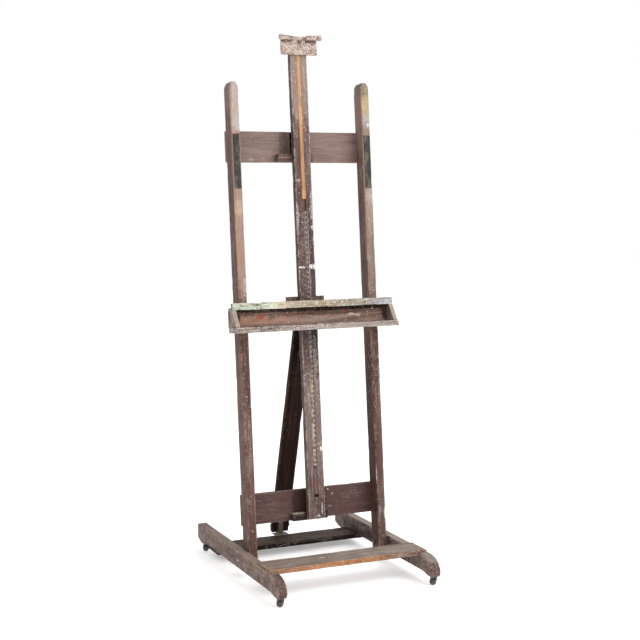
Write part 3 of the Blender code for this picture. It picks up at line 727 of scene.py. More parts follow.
# ---- leaning frame: uprights and boards ----
def upright_shape(side, top):
    """The top corners of an upright are rounded over."""
    middle = side * 0.5 * (UPRIGHT_IN + UPRIGHT_OUT)
    half = 0.5 * (UPRIGHT_OUT - UPRIGHT_IN)

    def reshape(x, n, s):
        climb = max(0.0, (s - top + 0.028) / 0.028)
        inset = 0.0095 * climb ** 2.2
        deep = 0.5 * UPRIGHT_DEPTH
        return (middle + (x - middle) * (half - inset) / half,
            deep + (n - deep) * (1.0 - 0.16 * climb ** 3), s)

    return reshape


# The uprights go lighter towards the top and darker towards the bottom: partly the wood's own faded
# tone, partly painted light from above.
FADED_AND_LIT_WOOD = (152, 126, 112)
PALE_AND_LIT_WOOD = (164, 152, 146)
upright_fading_and_light = {
    "left": on_face(-0.004,
        (-0.272, 1.48, 0.04, 0.014, 0.56, FADED_AND_LIT_WOOD, 0.4, 0.85),
        (-0.272, 1.83, 0.05, 0.02, 0.17, PALE_AND_LIT_WOOD, 0.5, 0.85),
        (-0.272, 1.4, 0.04, 0.014, 0.036, (168, 152, 124), 0.8, 0.5))
        + (((-0.289, 0.03, 1.84), (0.012, 0.05, 0.1), (118, 98, 90), 0.5, 0.7),),
    "right": on_face(-0.004,
        (0.272, 1.62, 0.04, 0.014, 0.42, (144, 126, 112), 0.4, 0.8),
        (0.272, 1.84, 0.05, 0.016, 0.15, (148, 134, 114), 0.5, 0.85),
        (0.272, 1.28, 0.04, 0.014, 0.26, (128, 112, 99), 0.6, 0.6),
        (0.272, 1.07, 0.04, 0.014, 0.12, (122, 99, 89), 0.6, 0.6))
        + on_face(0.03,
            (UPRIGHT_IN, 1.73, 0.01, 0.05, 0.15, (134, 110, 100), 0.5, 0.7),
            (UPRIGHT_IN, 1.88, 0.012, 0.06, 0.05, (108, 96, 80), 0.5, 0.8),
            # Darkens the right upright's inner side low down: painted shade on a face turned away from
            # the light.
            (UPRIGHT_IN, 0.48, 0.01, 0.07, 0.52, (56, 28, 21), 0.5, 0.92))
        + (((0.276, 0.0, 0.2), (0.026, 0.02, 0.32), (80, 61, 58), 0.6, 0.65),),
}
upright_marks = {
    "left": on_face(0.0,
        (-0.272, 1.8, 0.024, 0.02, 0.11, (196, 178, 172), 1.6, 0.7),
        (-0.266, 1.715, 0.018, 0.02, 0.032, (206, 202, 204), 1.1, 0.85),
        (-0.272, 1.76, 0.016, 0.02, 0.05, (190, 164, 108), 2.0, 0.7),
        (-0.262, 1.1, 0.006, 0.01, 0.05, PAINT_WHITE, 0.9, 0.6),
        (-0.28, 0.42, 0.008, 0.01, 0.05, PAINT_CREAM, 1.2, 0.3),
        (-0.268, 0.52, 0.008, 0.01, 0.14, (168, 148, 138), 1.2, 0.7)),
    "right": on_face(0.0,
        (0.272, 1.86, 0.024, 0.02, 0.05, (70, 56, 40), 1.4, 0.85),
        (0.284, 0.7, 0.006, 0.02, 0.12, (176, 164, 156), 1.3, 0.8),
        (0.271, 1.795, 0.015, 0.02, 0.042, (196, 158, 88), 1.0, 0.9),
        (0.276, 1.775, 0.016, 0.02, 0.06, (210, 202, 180), 1.7, 0.9),
        (0.274, 1.725, 0.017, 0.02, 0.03, PAINT_BLUE, 0.9, 0.9),
        (0.28, 1.715, 0.006, 0.02, 0.008, (236, 234, 232), 0.3, 0.95),
        (0.27, 1.7, 0.02, 0.02, 0.04, (84, 70, 62), 1.8, 0.8),
        (0.276, 1.43, 0.014, 0.02, 0.045, (206, 202, 196), 1.4, 0.9),
        (0.288, 0.195, 0.0075, 0.012, 0.03, PAINT_WHITE, 0.25, 0.95),
        (0.256, 0.345, 0.0022, 0.004, 0.03, (216, 208, 202), 0.5, 0.9),
        (0.264, 0.2, 0.006, 0.006, 0.032, (206, 198, 194), 1.6, 0.8),
        (0.27, 1.36, 0.01, 0.01, 0.06, (160, 136, 128), 0.9, 0.7),
        (0.262, 1.21, 0.012, 0.01, 0.05, (166, 148, 138), 0.9, 0.6)),
}
for side, label in SIDES:
    wood = old_wood("stained_wood_upright_" + label, STAIN_UPRIGHT, "z", (152, 118, 104),
        0.75, (146, 124, 116), 0.28, 0.7, upright_marks[label], 21.0 + side,
        fades_and_shade=upright_fading_and_light[label], scratches=0.45, gloss=0.18)
    piece = plank("upright_" + label, side_range(side, UPRIGHT_IN, UPRIGHT_OUT),
        (0.0, UPRIGHT_DEPTH), (0.053, UPRIGHT_TOP[label]), "z", wood, LEANING, 0.0026,
        dents=26, reshape=upright_shape(side, UPRIGHT_TOP[label]), flats=(2, 4))
    settle(piece, "leaning_frame", ("upright_" + label,))

felt = Shade("pad_felt", 0.95, specular=0.1)
nap = felt.noise(900.0, EVEN, 4.0, 0.7)
worn_felt = felt.noise(40.0, (1, 1, 0.6), 5.0, 0.65, 0.5, 2.0)
tone = felt.ramp(worn_felt, (0.34, (42, 41, 40)), (0.52, (66, 64, 61)), (0.7, (112, 104, 94)))
tone = felt.weigh(tone, 0.8, nap, (0.35, (0.6, 0.6, 0.6, 1)), (0.65, (1.2, 1.2, 1.2, 1)))
felt.bump(nap, 0.0006, 0.9)
felt = felt.finish(tone)
for side, label in SIDES:
    middle = side * 0.27215
    build(plank, "leaning_frame", "pad_felt", "pad_" + label, (middle - 0.013, middle + 0.013),
          (-0.0033, -0.0003), (1.47, 1.674), "z", felt, LEANING, 0.0012, step=0.006, amount=0.0005,
          dents=16, dent_depth=0.0012, flats=(4, 1))

board_marks_and_shadow = {
    "upper": on_face(BOARD_FRONT,
        # Darkens the upper board just left of the mast: painted shadow of the mast.
        (-0.055, 1.635, 0.022, 0.02, 0.09, (66, 50, 44), 0.4, 0.6),
        (0.1, 1.6, 0.06, 0.01, 0.01, (120, 100, 96), 0.9, 0.5),
        (-0.19, 1.585, 0.012, 0.01, 0.005, (176, 166, 158), 0.9, 0.8)),
    "lower": on_face(BOARD_FRONT,
        (0.072, 0.302, 0.006, 0.01, 0.004, PAINT_WHITE, 1.0, 0.9),
        (0.09, 0.284, 0.006, 0.01, 0.006, (204, 194, 188), 1.2, 0.9),
        (0.08, 0.236, 0.01, 0.01, 0.006, (190, 180, 174), 1.6, 0.8),
        (0.175, 0.275, 0.05, 0.01, 0.02, (156, 142, 138), 1.9, 0.6),
        (0.0, 0.312, 0.3, 0.006, 0.0022, (138, 118, 110), 1.4, 0.7),
        (-0.16, 0.22, 0.06, 0.01, 0.012, (122, 102, 98), 1.0, 0.5)),
}
board_shadow = {
    "upper": (),
    # Darkens the lower board just left of the mast: painted shadow of the mast.
    "lower": (((-0.042, BOARD_FRONT, 0.262), (0.044, 0.02, 0.1), (44, 27, 20), 0.4, 0.8),),
}
for label, s_range, flecks, tones, cleat_tones, lid in (
        ("upper", (1.575, 1.6925), 0.4, STAIN_BOARD, STAIN, (120, 100, 92)),
        ("lower", (0.1955, 0.3135), 0.7, STAIN_RED,
         ((26, 19, 17), (42, 34, 31), (64, 53, 48)), (188, 178, 160))):
    wood = old_wood("stained_wood_crossboard_" + label, tones, "x", (126, 104, 95), 0.6,
        (122, 106, 100), 0.66 - 0.4 * flecks, flecks, board_marks_and_shadow[label],
        31.0 + flecks, fades_and_shade=board_shadow[label], contrast=0.75 - 0.5 * flecks)
    top = s_range[0] + 0.03
    cleat_wood = old_wood("stained_wood_cleat_" + label, cleat_tones, "x", (120, 104, 96),
        0.3, (120, 108, 102), 0.3, flecks,
        (((-0.07, 0.052, top), (0.04, 0.03, 0.0045), lid, 0.2, 0.95),), 33.0 + flecks, gloss=0.08)
    build(plank, "leaning_frame", "stained_wood", "crossboard_" + label,
          (-UPRIGHT_OUT, UPRIGHT_OUT), (BOARD_FRONT, BOARD_BACK), s_range, "x", wood, LEANING, 0.0022,
          flats=(1, 5))
    build(plank, "leaning_frame", "stained_wood", "cleat_" + label, (-0.0895, 0.056), BEHIND_MAST,
          (s_range[0], s_range[0] + 0.03), "x", cleat_wood, LEANING, 0.0022, flats=(2, 2))
dark = old_wood("dark_wood", DARK, "z", (84, 66, 56), 0.6, (80, 70, 64), 0.3, 0.25,
    (), 37.0, fleck_tint=(112, 100, 92), gloss=0.06)
for label, s_range in (("upper", (1.609, 1.6895)), ("lower", (0.2295, 0.3105))):
    build(plank, "leaning_frame", "dark_wood", "spacer_" + label, (-0.028, 0.028), BEHIND_MAST,
          s_range, "z", dark, LEANING, 0.0016)

# ---- mast ----
mast_marks_and_shade = (
    on_face(MAST_FRONT,
        (-0.018, 1.168, 0.024, 0.008, 0.0048, PAINT_WHITE, 0.25, 0.9),
        (0.026, 1.17, 0.021, 0.012, 0.011, PAINT_WHITE, 0.2, 0.95),
        (-0.033, 1.36, 0.009, 0.008, 0.075, (196, 182, 182), 0.9, 0.9))
    + (((0.0, 0.018, 1.405), (0.01, 0.006, 0.03), (112, 84, 60), 0.15, 0.95),)
    + on_face(MAST_FRONT,
        (-0.035, 1.87, 0.004, 0.006, 0.09, PAINT_PINK, 0.7, 0.8),
        (0.03, 1.4, 0.009, 0.008, 0.06, (190, 182, 176), 1.0, 0.8),
        (0.03, 1.32, 0.008, 0.008, 0.012, PAINT_WHITE, 0.6, 0.8),
        (0.004, 1.09, 0.01, 0.006, 0.01, (196, 190, 184), 0.6, 0.9),
        (0.029, 0.47, 0.009, 0.01, 0.011, PAINT_WHITE, 0.4, 0.95),
        (0.0215, 0.238, 0.003, 0.008, 0.026, PAINT_WHITE, 0.35, 0.95),
        (0.032, 0.232, 0.005, 0.012, 0.026, (176, 166, 158), 1.2, 0.6))
    # Near-black inside the bolt recess: painted shade in the recess.
    + (((0.0, 0.0185, 0.2903), (0.014, 0.0084, 0.011), (16, 11, 9), 0.05, 0.97),)
    + on_face(MAST_FRONT,
        (0.006, 0.212, 0.006, 0.008, 0.005, (206, 196, 186), 0.5, 0.9),
        (0.01, 1.2, 0.0026, 0.006, 0.22, (158, 144, 134), 0.2, 0.8),
        (-0.022, 1.5, 0.012, 0.006, 0.006, (178, 160, 140), 0.6, 0.8),
        (-0.012, 0.66, 0.01, 0.006, 0.05, (170, 160, 152), 1.0, 0.7),
        (0.018, 0.8, 0.012, 0.006, 0.12, (172, 160, 152), 1.0, 0.5),
        (0.024, 0.33, 0.01, 0.006, 0.05, (166, 154, 146), 1.4, 0.5),
        (0.018, 1.56, 0.01, 0.006, 0.08, (128, 112, 104), 0.9, 0.6),
        (-0.02, 1.78, 0.01, 0.006, 0.06, (150, 138, 128), 0.9, 0.6),
        (0.0, 0.33, 0.012, 0.01, 0.02, (120, 70, 58), 0.5, 0.8)))
mast_fading_and_light = (
    on_face(MAST_FRONT,
        # Lighter near the top of the mast: partly faded wood, partly painted light from above.
        (0.0, 1.9, 0.06, 0.03, 0.2, (128, 111, 103), 0.5, 0.85),
        (0.0, 0.56, 0.06, 0.03, 0.24, (113, 97, 95), 0.7, 0.75))
    # Darkens the mast's left side face all along: painted shade on the side turned from the light.
    + (((-MAST_HALF, 0.04, 1.05), (0.003, 0.06, 1.4), (48, 32, 26), 0.15, 0.75),)
    + on_face(MAST_FRONT,
        # Darkens the mast just under the tray: painted shadow of the tray.
        (0.0, 0.885, 0.06, 0.03, 0.075, (48, 34, 30), 0.5, 0.85),
        (0.0, 0.27, 0.06, 0.03, 0.11, (70, 52, 47), 0.6, 0.6),
        (0.026, 1.2, 0.018, 0.02, 0.19, (58, 41, 40), 0.4, 0.75),
        (-0.018, 1.2, 0.022, 0.02, 0.22, (76, 54, 52), 0.4, 0.5)))
mast_wood = old_wood("stained_wood_mast", ((44, 30, 28), (78, 57, 53), (112, 91, 84)),
    "z", (166, 142, 128), 0.9, (146, 132, 124), 0.6, 1.0, mast_marks_and_shade,
    41.0, fades_and_shade=mast_fading_and_light, scratches=0.75)
mast = plank("mast", (-MAST_HALF, MAST_HALF), (MAST_FRONT, MAST_BACK), (0.1997, 1.986), "z",
    mast_wood, LEANING, 0.0024, dents=34, flats=(5, 2), step=0.012)
groove = [(MAST_FRONT - 0.004, 0.3392), (GROOVE_FLOOR, 0.3845), (GROOVE_FLOOR, 2.0),
    (MAST_FRONT - 0.004, 2.0)]
mast = cut(mast, shape_cutter(groove, -0.008, 0.008, "x", LEANING))
recess = [(0.01 * math.cos(math.radians(15 * k)), 0.2903 + 0.0068 * math.sin(math.radians(15 * k)))
    for k in range(24)]
mast = cut(mast, shape_cutter(recess, MAST_FRONT - 0.005, MAST_FRONT + 0.015, "y", LEANING))
settle(mast, "leaning_frame", ("mast",))

# ---- head: slide, block and lip under their crust of paint ----
slide_marks = on_face(SLIDE_FACE,
    (0.0, 1.52, 0.01, 0.01, 0.06, (150, 106, 68), 0.9, 0.6),
    (0.0, 1.8, 0.01, 0.01, 0.03, (140, 106, 82), 0.9, 0.5))
slide_wood = old_wood("bare_wood_slide", BARE, "z", (96, 62, 42), 0.9, (176, 132, 98),
    0.3, 0.3, slide_marks, 47.0)
build(plank, "head", "bare_wood", "head_slide", (-0.0077, 0.0077), (SLIDE_FACE, 0.0177), (1.4292, 2.03),
      "z", slide_wood, LEANING, 0.0012, dents=8, dent_depth=0.0008, flats=(2, 1))


def concave_corner(outline, index):
    """True where an outline drawn counter-clockwise turns to the right."""
    before, here = outline[index - 1], outline[index]
    after = outline[(index + 1) % len(outline)]
    turn = ((here[0] - before[0]) * (after[1] - here[1])
        - (here[1] - before[1]) * (after[0] - here[0]))
    return turn < -1e-9


def lump(name, outline, low, high, across, material, matrix, radius, push, scale, seed, step=0.005):
    """A block buried under dried paint: a slab with a lumpy skin."""
    obj = slab(name, outline, low, high, across, material, matrix, radius, step, 0.0, seed)
    if any(concave_corner(outline, i) for i in range(len(outline))):
        bm = bmesh.new()
        bm.from_mesh(obj.data)
        bmesh.ops.triangulate(bm, faces=[face for face in bm.faces if len(face.verts) > 4])
        bm.to_mesh(obj.data)
        bm.free()
    subdivide = obj.modifiers.new("fine", "SUBSURF")
    subdivide.subdivision_type = "SIMPLE"
    subdivide.levels = subdivide.render_levels = 2
    mesh = applied(obj)
    bm = bmesh.new()
    bm.from_mesh(mesh)
    bm.normal_update()
    for vert in bm.verts:
        place = vert.co + Vector((seed, seed, seed))
        big = noise.noise(place * scale)
        small = noise.turbulence(place * scale * 3.2, 3, False)
        vert.co -= vert.normal * push * max(0.0, 0.62 + 0.4 * big - 0.75 * small)
    bm.to_mesh(mesh)
    bm.free()
    return obj


crust_flecks = ((150.0, 0.44, 0.22, (224, 214, 200), 1.0),
    (140.0, 0.42, 0.16, (84, 62, 56), 5.0),
    (170.0, 0.44, 0.1, (186, 148, 92), 9.0),
    (150.0, 0.42, 0.08, (200, 196, 208), 11.0))
# The first two darken the block just under each lip: painted shadow cast by the lips; the third is a
# darker patch between them, the fourth a lighter one.
crust_patches_and_shadows = on_face(-0.0045,
    (-0.056, 2.0285, 0.034, 0.006, 0.0055, (92, 70, 74), 0.3, 0.85),
    (0.052, 2.0275, 0.034, 0.006, 0.0055, (92, 70, 74), 0.3, 0.85),
    (0.003, 2.0275, 0.013, 0.006, 0.0095, (86, 66, 58), 0.7, 0.7),
    (-0.05, 2.005, 0.024, 0.006, 0.018, (206, 186, 172), 0.9, 0.5))
head_crust = crust("crusted_paint", [(0.3, (118, 98, 92)), (0.45, (162, 142, 134)),
        (0.56, (184, 168, 158)), (0.72, (212, 202, 190))], 5.0, 125.0, crust_flecks, crust_patches_and_shadows)
block_outline = [(-0.075, 1.977), (0.075, 1.977), (0.075, 2.048), (-0.075, 2.048)]
build(lump, "head", "crusted_paint", "head_block", block_outline, -0.004, 0.0093, "y", head_crust,
      LEANING, 0.0028, 0.002, 55.0, 3.0)
LIP_OUTLINES = {
    "left": [(-0.086, 2.033), (-0.084, 2.031), (-0.027, 2.031), (-0.024, 2.034),
        (-0.024, 2.042), (-0.028, 2.045), (-0.082, 2.052), (-0.086, 2.048)],
    "right": [(0.023, 2.035), (0.026, 2.0305), (0.086, 2.032), (0.0895, 2.0355),
        (0.0895, 2.0495), (0.086, 2.053), (0.027, 2.049), (0.023, 2.045)],
}
for label, outline in LIP_OUTLINES.items():
    build(lump, "head", "crusted_paint", "head_lip_" + label, outline, -0.024, -0.003, "y",
          head_crust, LEANING, 0.0045, 0.0018, 60.0, 8.0 + len(label), 0.004)

# ---- tray ----
rail = Shade("pale_paint", 0.5, specular=0.45)
sway = rail.math("SUBTRACT", rail.noise(9.0, EVEN, 4.0, 0.6, 0.4, 3.0), 0.5)
across = rail.plus(rail.axis(0), rail.times(sway, 0.5))
base_tone = rail.ramp(
    rail.span(across, -0.36, 0.36, interpolation="LINEAR"),
    (0.02, (170, 178, 165)), (0.14, (184, 191, 174)), (0.26, (180, 172, 150)),
    (0.4, (158, 145, 125)), (0.56, (146, 133, 116)), (0.7, (136, 129, 117)),
    (0.84, (138, 134, 134)), (0.97, (152, 149, 157)))
layer = rail.noise(52.0, (0.3, 1, 1), 7.0, 0.75, 0.9, 7.0)
tone = rail.weigh(base_tone, 0.9, layer, (0.34, (0.46, 0.43, 0.38, 1)),
    (0.47, (0.96, 0.96, 0.93, 1)), (0.66, (1.2, 1.2, 1.18, 1)))
bare_patch = rail.span(rail.noise(42.0, (0.28, 1, 1), 7.0, 0.75, 0.8, 21.0), 0.54, 0.6)
tone = rail.lay(tone, bare_patch, 0.8, (96, 80, 64))
chips = rail.span(rail.noise(110.0, (0.5, 1, 1), 5.0, 0.7, 0.5, 33.0), 0.57, 0.62)
tone = rail.lay(tone, chips, 0.85, (74, 60, 50))
blobs = rail.span(rail.noise(90.0, (0.6, 1, 1), 5.0, 0.7, 0.5, 37.0), 0.6, 0.64)
tone = rail.lay(tone, blobs, 0.8, (214, 218, 214))
rubbed = rail.times(rail.attribute("wear"), rail.span(
    rail.noise(34.0, (0.5, 1, 1), 5.0, 0.7, 0.4, 41.0), 0.42, 0.58))
tone = rail.lay(tone, rubbed, 0.75, (104, 90, 70))
end_wood = rail.span(rail.math("ABSOLUTE", rail.axis(0)), 0.3315, 0.334)
ledge_wood = rail.span(rail.axis(1), -0.0325, -0.0295)
bare_wood = rail.math("MAXIMUM", end_wood, ledge_wood)
tone = rail.lay(tone, bare_wood, 0.85, (100, 88, 70))
for scale, size, share, tint, shift in (
        (150.0, 0.42, 0.14, (96, 76, 62), 2.0),
        (190.0, 0.42, 0.14, (220, 220, 212), 6.0),
        (120.0, 0.36, 0.03, (170, 96, 70), 8.0)):
    tone = rail.lay(tone, rail.spots(scale, size, share, shift), 0.85, tint)
small = rail.noise(170.0, (0.7, 1, 1), 6.0, 0.75, 0.6, 4.0)
tone = rail.weigh(tone, 0.8, small, (0.34, (0.5, 0.48, 0.46, 1)), (0.5, (1, 1, 1, 1)),
    (0.64, (1.1, 1.1, 1.1, 1)))
rail.bump(rail.plus(small, rail.times(layer, 1.5)), 0.0022, 0.9)
rail_paint = rail.finish(tone, rail.span(small, 0.3, 0.7, 0.35, 0.7))
rail_outline = [(-0.045, 1.0148), (-0.0006, 1.0148), (-0.0006, 1.024), (-0.03, 1.024),
    (-0.03, 1.0413), (-0.045, 1.0413)]
build(lump, "tray", "pale_paint", "tray_rail", rail_outline, -TRAY_HALF, TRAY_HALF, "x", rail_paint,
      LEANING, 0.0028, 0.0014, 48.0, 12.0, 0.005)

tray_inside = old_wood(
    "stained_wood_tray_back", ((86, 62, 54), (130, 106, 96), (160, 138, 128)), "x",
    (160, 132, 120), 0.6, (160, 144, 134), 0.35, 0.6,
    on_face(TRAY_INSIDE,
        (-0.215, 0.986, 0.02, 0.01, 0.012, (170, 66, 44), 0.8, 0.85),
        (-0.235, 0.972, 0.018, 0.01, 0.007, (168, 104, 60), 1.0, 0.7),
        (0.14, 0.998, 0.016, 0.01, 0.006, (150, 52, 44), 1.0, 0.8),
        (0.165, 0.982, 0.018, 0.01, 0.006, (206, 196, 186), 0.8, 0.9),
        (0.19, 0.978, 0.014, 0.01, 0.007, (206, 198, 188), 0.9, 0.9),
        (0.06, 0.965, 0.06, 0.01, 0.006, (176, 162, 152), 1.2, 0.6)), 51.0,
    fades_and_shade=on_face(TRAY_INSIDE,
        (-0.2, 0.985, 0.17, 0.02, 0.034, (160, 122, 105), 0.8, 0.65),
        (-0.165, 0.99, 0.018, 0.02, 0.02, (96, 70, 60), 1.2, 0.6),
        # Darker bands right under the rail: painted shadow of the overhanging rail.
        (0.04, 1.0148, 0.7, 0.02, 0.038, (66, 46, 36), 0.5, 0.65),
        (0.04, 1.0148, 0.6, 0.02, 0.018, (26, 14, 10), 0.25, 0.96),
        # Darkens the two ends of the back: painted shade in the corners by the cheeks.
        (-CHEEK_IN, 0.99, 0.03, 0.02, 0.03, (40, 26, 20), 0.4, 0.85),
        (CHEEK_IN, 0.985, 0.026, 0.02, 0.04, (48, 34, 28), 0.5, 0.85)),
    scratches=0.3, gloss=0.06)
tray_lip = old_wood(
    "stained_wood_tray_bottom", ((48, 36, 33), (98, 83, 77), (156, 142, 136)),
    "x", (172, 158, 150), 0.9, (180, 168, 161), 0.9, 1.6,
    on_face(TRAY_FRONT,
        (-0.05, 0.94, 0.2, 0.02, 0.012, (188, 175, 169), 1.2, 0.9),
        (0.22, 0.94, 0.14, 0.02, 0.014, (170, 160, 155), 1.2, 0.5),
        (-0.28, 0.94, 0.05, 0.02, 0.014, (182, 172, 160), 1.0, 0.8)), 53.0,
    fleck_tint=(206, 198, 190), scratches=0.6)
build(plank, "tray", "stained_wood", "tray_back", (-TRAY_HALF, TRAY_HALF), (TRAY_INSIDE, -0.0006),
      (0.9505, 1.0145), "x", tray_inside, LEANING, 0.0012, dents=6, dent_depth=0.0008, flats=(2, 3))
build(plank, "tray", "stained_wood", "tray_bottom", (-TRAY_HALF, TRAY_HALF), (TRAY_FRONT, -0.0006),
      (0.93, 0.9502), "x", tray_lip, LEANING, 0.0026, amount=0.0006, dents=18, flats=(4, 2),
      step=0.01)
cheek_outline = [(-0.0193, 0.9505), (-0.08, 0.9505), (-0.079, 0.9562), (-0.043, 1.0145),
    (-0.0193, 1.0145)]
slant = math.atan2(0.036, 0.0583)
rim = -0.079 * math.cos(slant) - 0.9562 * math.sin(slant)
cheek_wood = old_wood("stained_wood_cheek", ((62, 51, 43), (102, 88, 75), (140, 126, 113)),
    "z", (160, 144, 132), 0.8, (150, 138, 122), 0.5, 0.9, (), 57.0,
    # The slanted front face gets a lighter tint: a painted highlight where that face turns up towards
    # the light.
    front=((0.0, math.cos(slant), -math.sin(slant)), rim + 0.001, rim + 0.002,
        (150, 135, 125)), contrast=1.15, scratches=0.9)
for side, label in SIDES:
    build(slab, "tray", "stained_wood", "tray_cheek_" + label, cheek_outline,
          *side_range(side, CHEEK_IN, TRAY_HALF), "x", cheek_wood, LEANING, 0.002, 0.008, 0.0004)
    build(plank, "tray", "dark_wood", "tray_spacer_" + label, side_range(side, 0.0353, 0.078),
          (-0.0003, 0.0355), (0.956, 1.036), "z", dark, LEANING, 0.0016)
    keeper_wood = old_wood("stained_wood_keeper_" + label, STAIN, "z", (140, 118, 106),
        0.7, (140, 130, 124), 0.4, 0.7, (), 59.0 + side)
    build(plank, "tray", "stained_wood", "tray_keeper_" + label, side_range(side, 0.02, 0.08),
          KEEPER_N, (0.952, 1.0575), "z", keeper_wood, LEANING, 0.002, flats=(3, 1))

# ---- rear strut ----
strut = plank("strut", (-0.0365, 0.0365), (-0.011, 0.011), (-0.026, 0.88), "z", dark, STRUT,
    0.0024, dents=14, flats=(4, 1))
strut = cut(strut, box_cutter((-0.0145, 0.012), (-0.03, 0.03), (-0.05, 0.056), STRUT))
slot = [(-0.0049, 0.7299), (-0.0035, 0.7264), (0.0, 0.725), (0.0035, 0.7264), (0.0049, 0.7299),
    (0.0049, 0.8251), (0.0035, 0.8286), (0.0, 0.83), (-0.0035, 0.8286), (-0.0049, 0.8251)]
strut = cut(strut, shape_cutter(slot, -0.03, 0.03, "y", STRUT))
settle(strut, "rear_strut", ("strut",))

# ---- metal: CAD solids that keep their shape ----
steel = metal("fastener_steel", (112, 106, 100), (72, 52, 42), 0.5, 0.8, 2.0, 0.8)
iron = metal("caster_iron", (88, 86, 84), (44, 32, 26), 0.42, 0.75, 4.0, 0.9)
black_iron = metal("bolt_iron", (22, 18, 16), (12, 8, 6), 0.75, 0.2, 6.0, 0.5)
leaf = metal("bracket_steel", (150, 146, 140), (104, 88, 76), 0.5, 0.6, 6.0, 0.6)

bar = Shade("rack_steel", 0.6, 0.15)
layer = bar.noise(60.0, (1, 1, 0.5), 6.0, 0.7, 0.5, 3.0)
tone = bar.ramp(layer, (0.34, (60, 48, 45)), (0.52, (98, 82, 77)), (0.7, (134, 118, 111)))
# A lighter strip along the rack's right edge: a painted highlight where that edge catches the light.
painted_highlight_edge = bar.span(bar.axis(0), 0.003, 0.0046)
tone = bar.lay(tone, painted_highlight_edge, 0.65, (156, 144, 134))
depth = bar.along((0.0, math.cos(LEAN), -math.sin(LEAN)))
height = bar.along((0.0, math.sin(LEAN), math.cos(LEAN)))
low_part = bar.times(bar.span(height, 0.8, 0.68), bar.span(height, 0.3, 0.42))
patch = bar.span(bar.noise(48.0, (1, 1, 0.7), 5.0, 0.7, 0.5, 9.0), 0.4, 0.56)
tone = bar.lay(tone, low_part, patch, (160, 145, 128))
face = RACK_FACE - FRAME_PIVOT_N
# Lighter inside the notches: dried paint clogging them, and also painted light that cancels the shade
# in the notches.
clog_and_fill_light = bar.span(depth, face + 0.0004, face + 0.0016)
clog_and_fill_tint = bar.mix(low_part, (110, 92, 87), (178, 163, 144))
tone = bar.lay(tone, clog_and_fill_light, 0.75, clog_and_fill_tint)
shown = bar.plus(bar.times(low_part, 0.5), 0.35)
for scale, share, tint, shift in (
        (220.0, 0.26, (204, 194, 172), 3.0), (150.0, 0.1, (212, 206, 196), 7.0)):
    tone = bar.lay(tone, bar.spots(scale, 0.42, share, shift), shown, tint)
bar.bump(layer, 0.0008, 0.8)
rack_metal = bar.finish(tone, bar.span(layer, 0.3, 0.7, 0.38, 0.7))

rubber = Shade("wheel_rubber", 0.45, specular=0.5)
scuff = rubber.noise(140.0, EVEN, 5.0, 0.65, 0.3, 1.0)
tone = rubber.ramp(scuff, (0.36, (32, 31, 31)), (0.52, (58, 56, 56)), (0.68, (116, 112, 108)))
rubber.bump(scuff, 0.0005, 0.7)
rubber = rubber.finish(tone, rubber.span(scuff, 0.3, 0.7, 0.45, 0.8))

nodes = frame["nodes"]


def refinish(name, material, bevel=0.0004):
    """A CAD solid that stays: a new finish and softened edges."""
    obj = nodes[name]
    obj.data.materials.clear()
    obj.data.materials.append(material)
    if bevel:
        edge = obj.modifiers.new("edge", "BEVEL")
        edge.width = bevel
        edge.segments = 2
        edge.limit_method = "ANGLE"
        edge.angle_limit = math.radians(35)
        edge.harden_normals = False


METALS = (
    (steel, ("mast_lug", "lug_pin", "head_screw", "clamp_screw", "foot_pin", "swing_bolt",
        "wing_nut", "tray_pawl", "pawl_pin", "bracket_tongue", "frame_bolt")),
    (black_iron, ("mast_bolt",)), (iron, ("caster_yoke", "caster_plate")),
)
for material, starts in METALS:
    for name in nodes:
        if name.startswith(starts):
            refinish(name, material)
for _, label in SIDES:
    refinish("pivot_bolt_" + label, bpy.data.materials["stained_wood_runner_" + label], 0.0)
refinish("strut_bracket", leaf, 0.0006)
refinish("rack", rack_metal, 0.0005)

WHEEL_PROFILE = [(0.0036, -0.0103), (0.0046, -0.0105), (0.006, -0.0105), (0.0064, -0.0099),
    (0.0082, -0.0098), (0.0092, -0.0099), (0.011, -0.0085), (0.0124, -0.0066),
    (0.0134, -0.0044), (0.0139, -0.0022), (0.014, 0.0)]
WHEEL_PROFILE += [(radius, -place) for radius, place in reversed(WHEEL_PROFILE[:-1])]
for end, y in (("front", -0.353), ("back", 0.42)):
    for side, label in SIDES:
        corner = "%s_%s" % (end, label)
        matrix = BASE @ Matrix.Translation((side * RUNNER_MIDDLE, y + 0.006, 0.014))
        wheel = turned("caster_wheel_" + corner, WHEEL_PROFILE, (0.0, 0.0), "x", rubber, matrix, 40)
        wheel = cut(wheel, rod_cutter(0.0022, (0.0, 0.0), -0.02, 0.02, "x", matrix))
        settle(wheel, "wheel_" + corner, ("caster_wheel_" + corner,))

# ---- small screws that hold the boards, keepers and rack ----
SCREW_PROFILE = [(0.0002, 0.0), (0.0016, -0.00002), (0.003, -0.0004), (0.0038, -0.001),
    (0.004, -0.0016), (0.004, -0.0022)]


SCREW_NUMBERS = itertools.count(1)
SCREW_TURNS = random.Random(19)


def screw(kind, place, out, body, radius, proud, base=LEANING, finish=steel):
    """A slotted screw head set in the wood, its face turned to the direction `out`."""
    scale = radius / 0.004
    profile = [(r * scale, z * scale) for r, z in reversed(SCREW_PROFILE)]
    forward = Vector(out).normalized()
    facing = forward.to_track_quat("Z", "Y").to_matrix().to_4x4()
    turn = Matrix.Rotation(SCREW_TURNS.uniform(0, 3), 4, "Z")
    matrix = base @ Matrix.Translation(Vector(place) + forward * proud) @ facing @ turn
    name = "%s_screw_%d" % (kind, next(SCREW_NUMBERS))
    head = turned(name, profile, (0.0, 0.0), "z", finish, matrix, 20)
    head = cut(head, box_cutter((-0.0005 * scale, 0.0005 * scale), (-0.006, 0.006),
            (-0.0009 * scale, 0.002), matrix))
    settle(head, body, ())


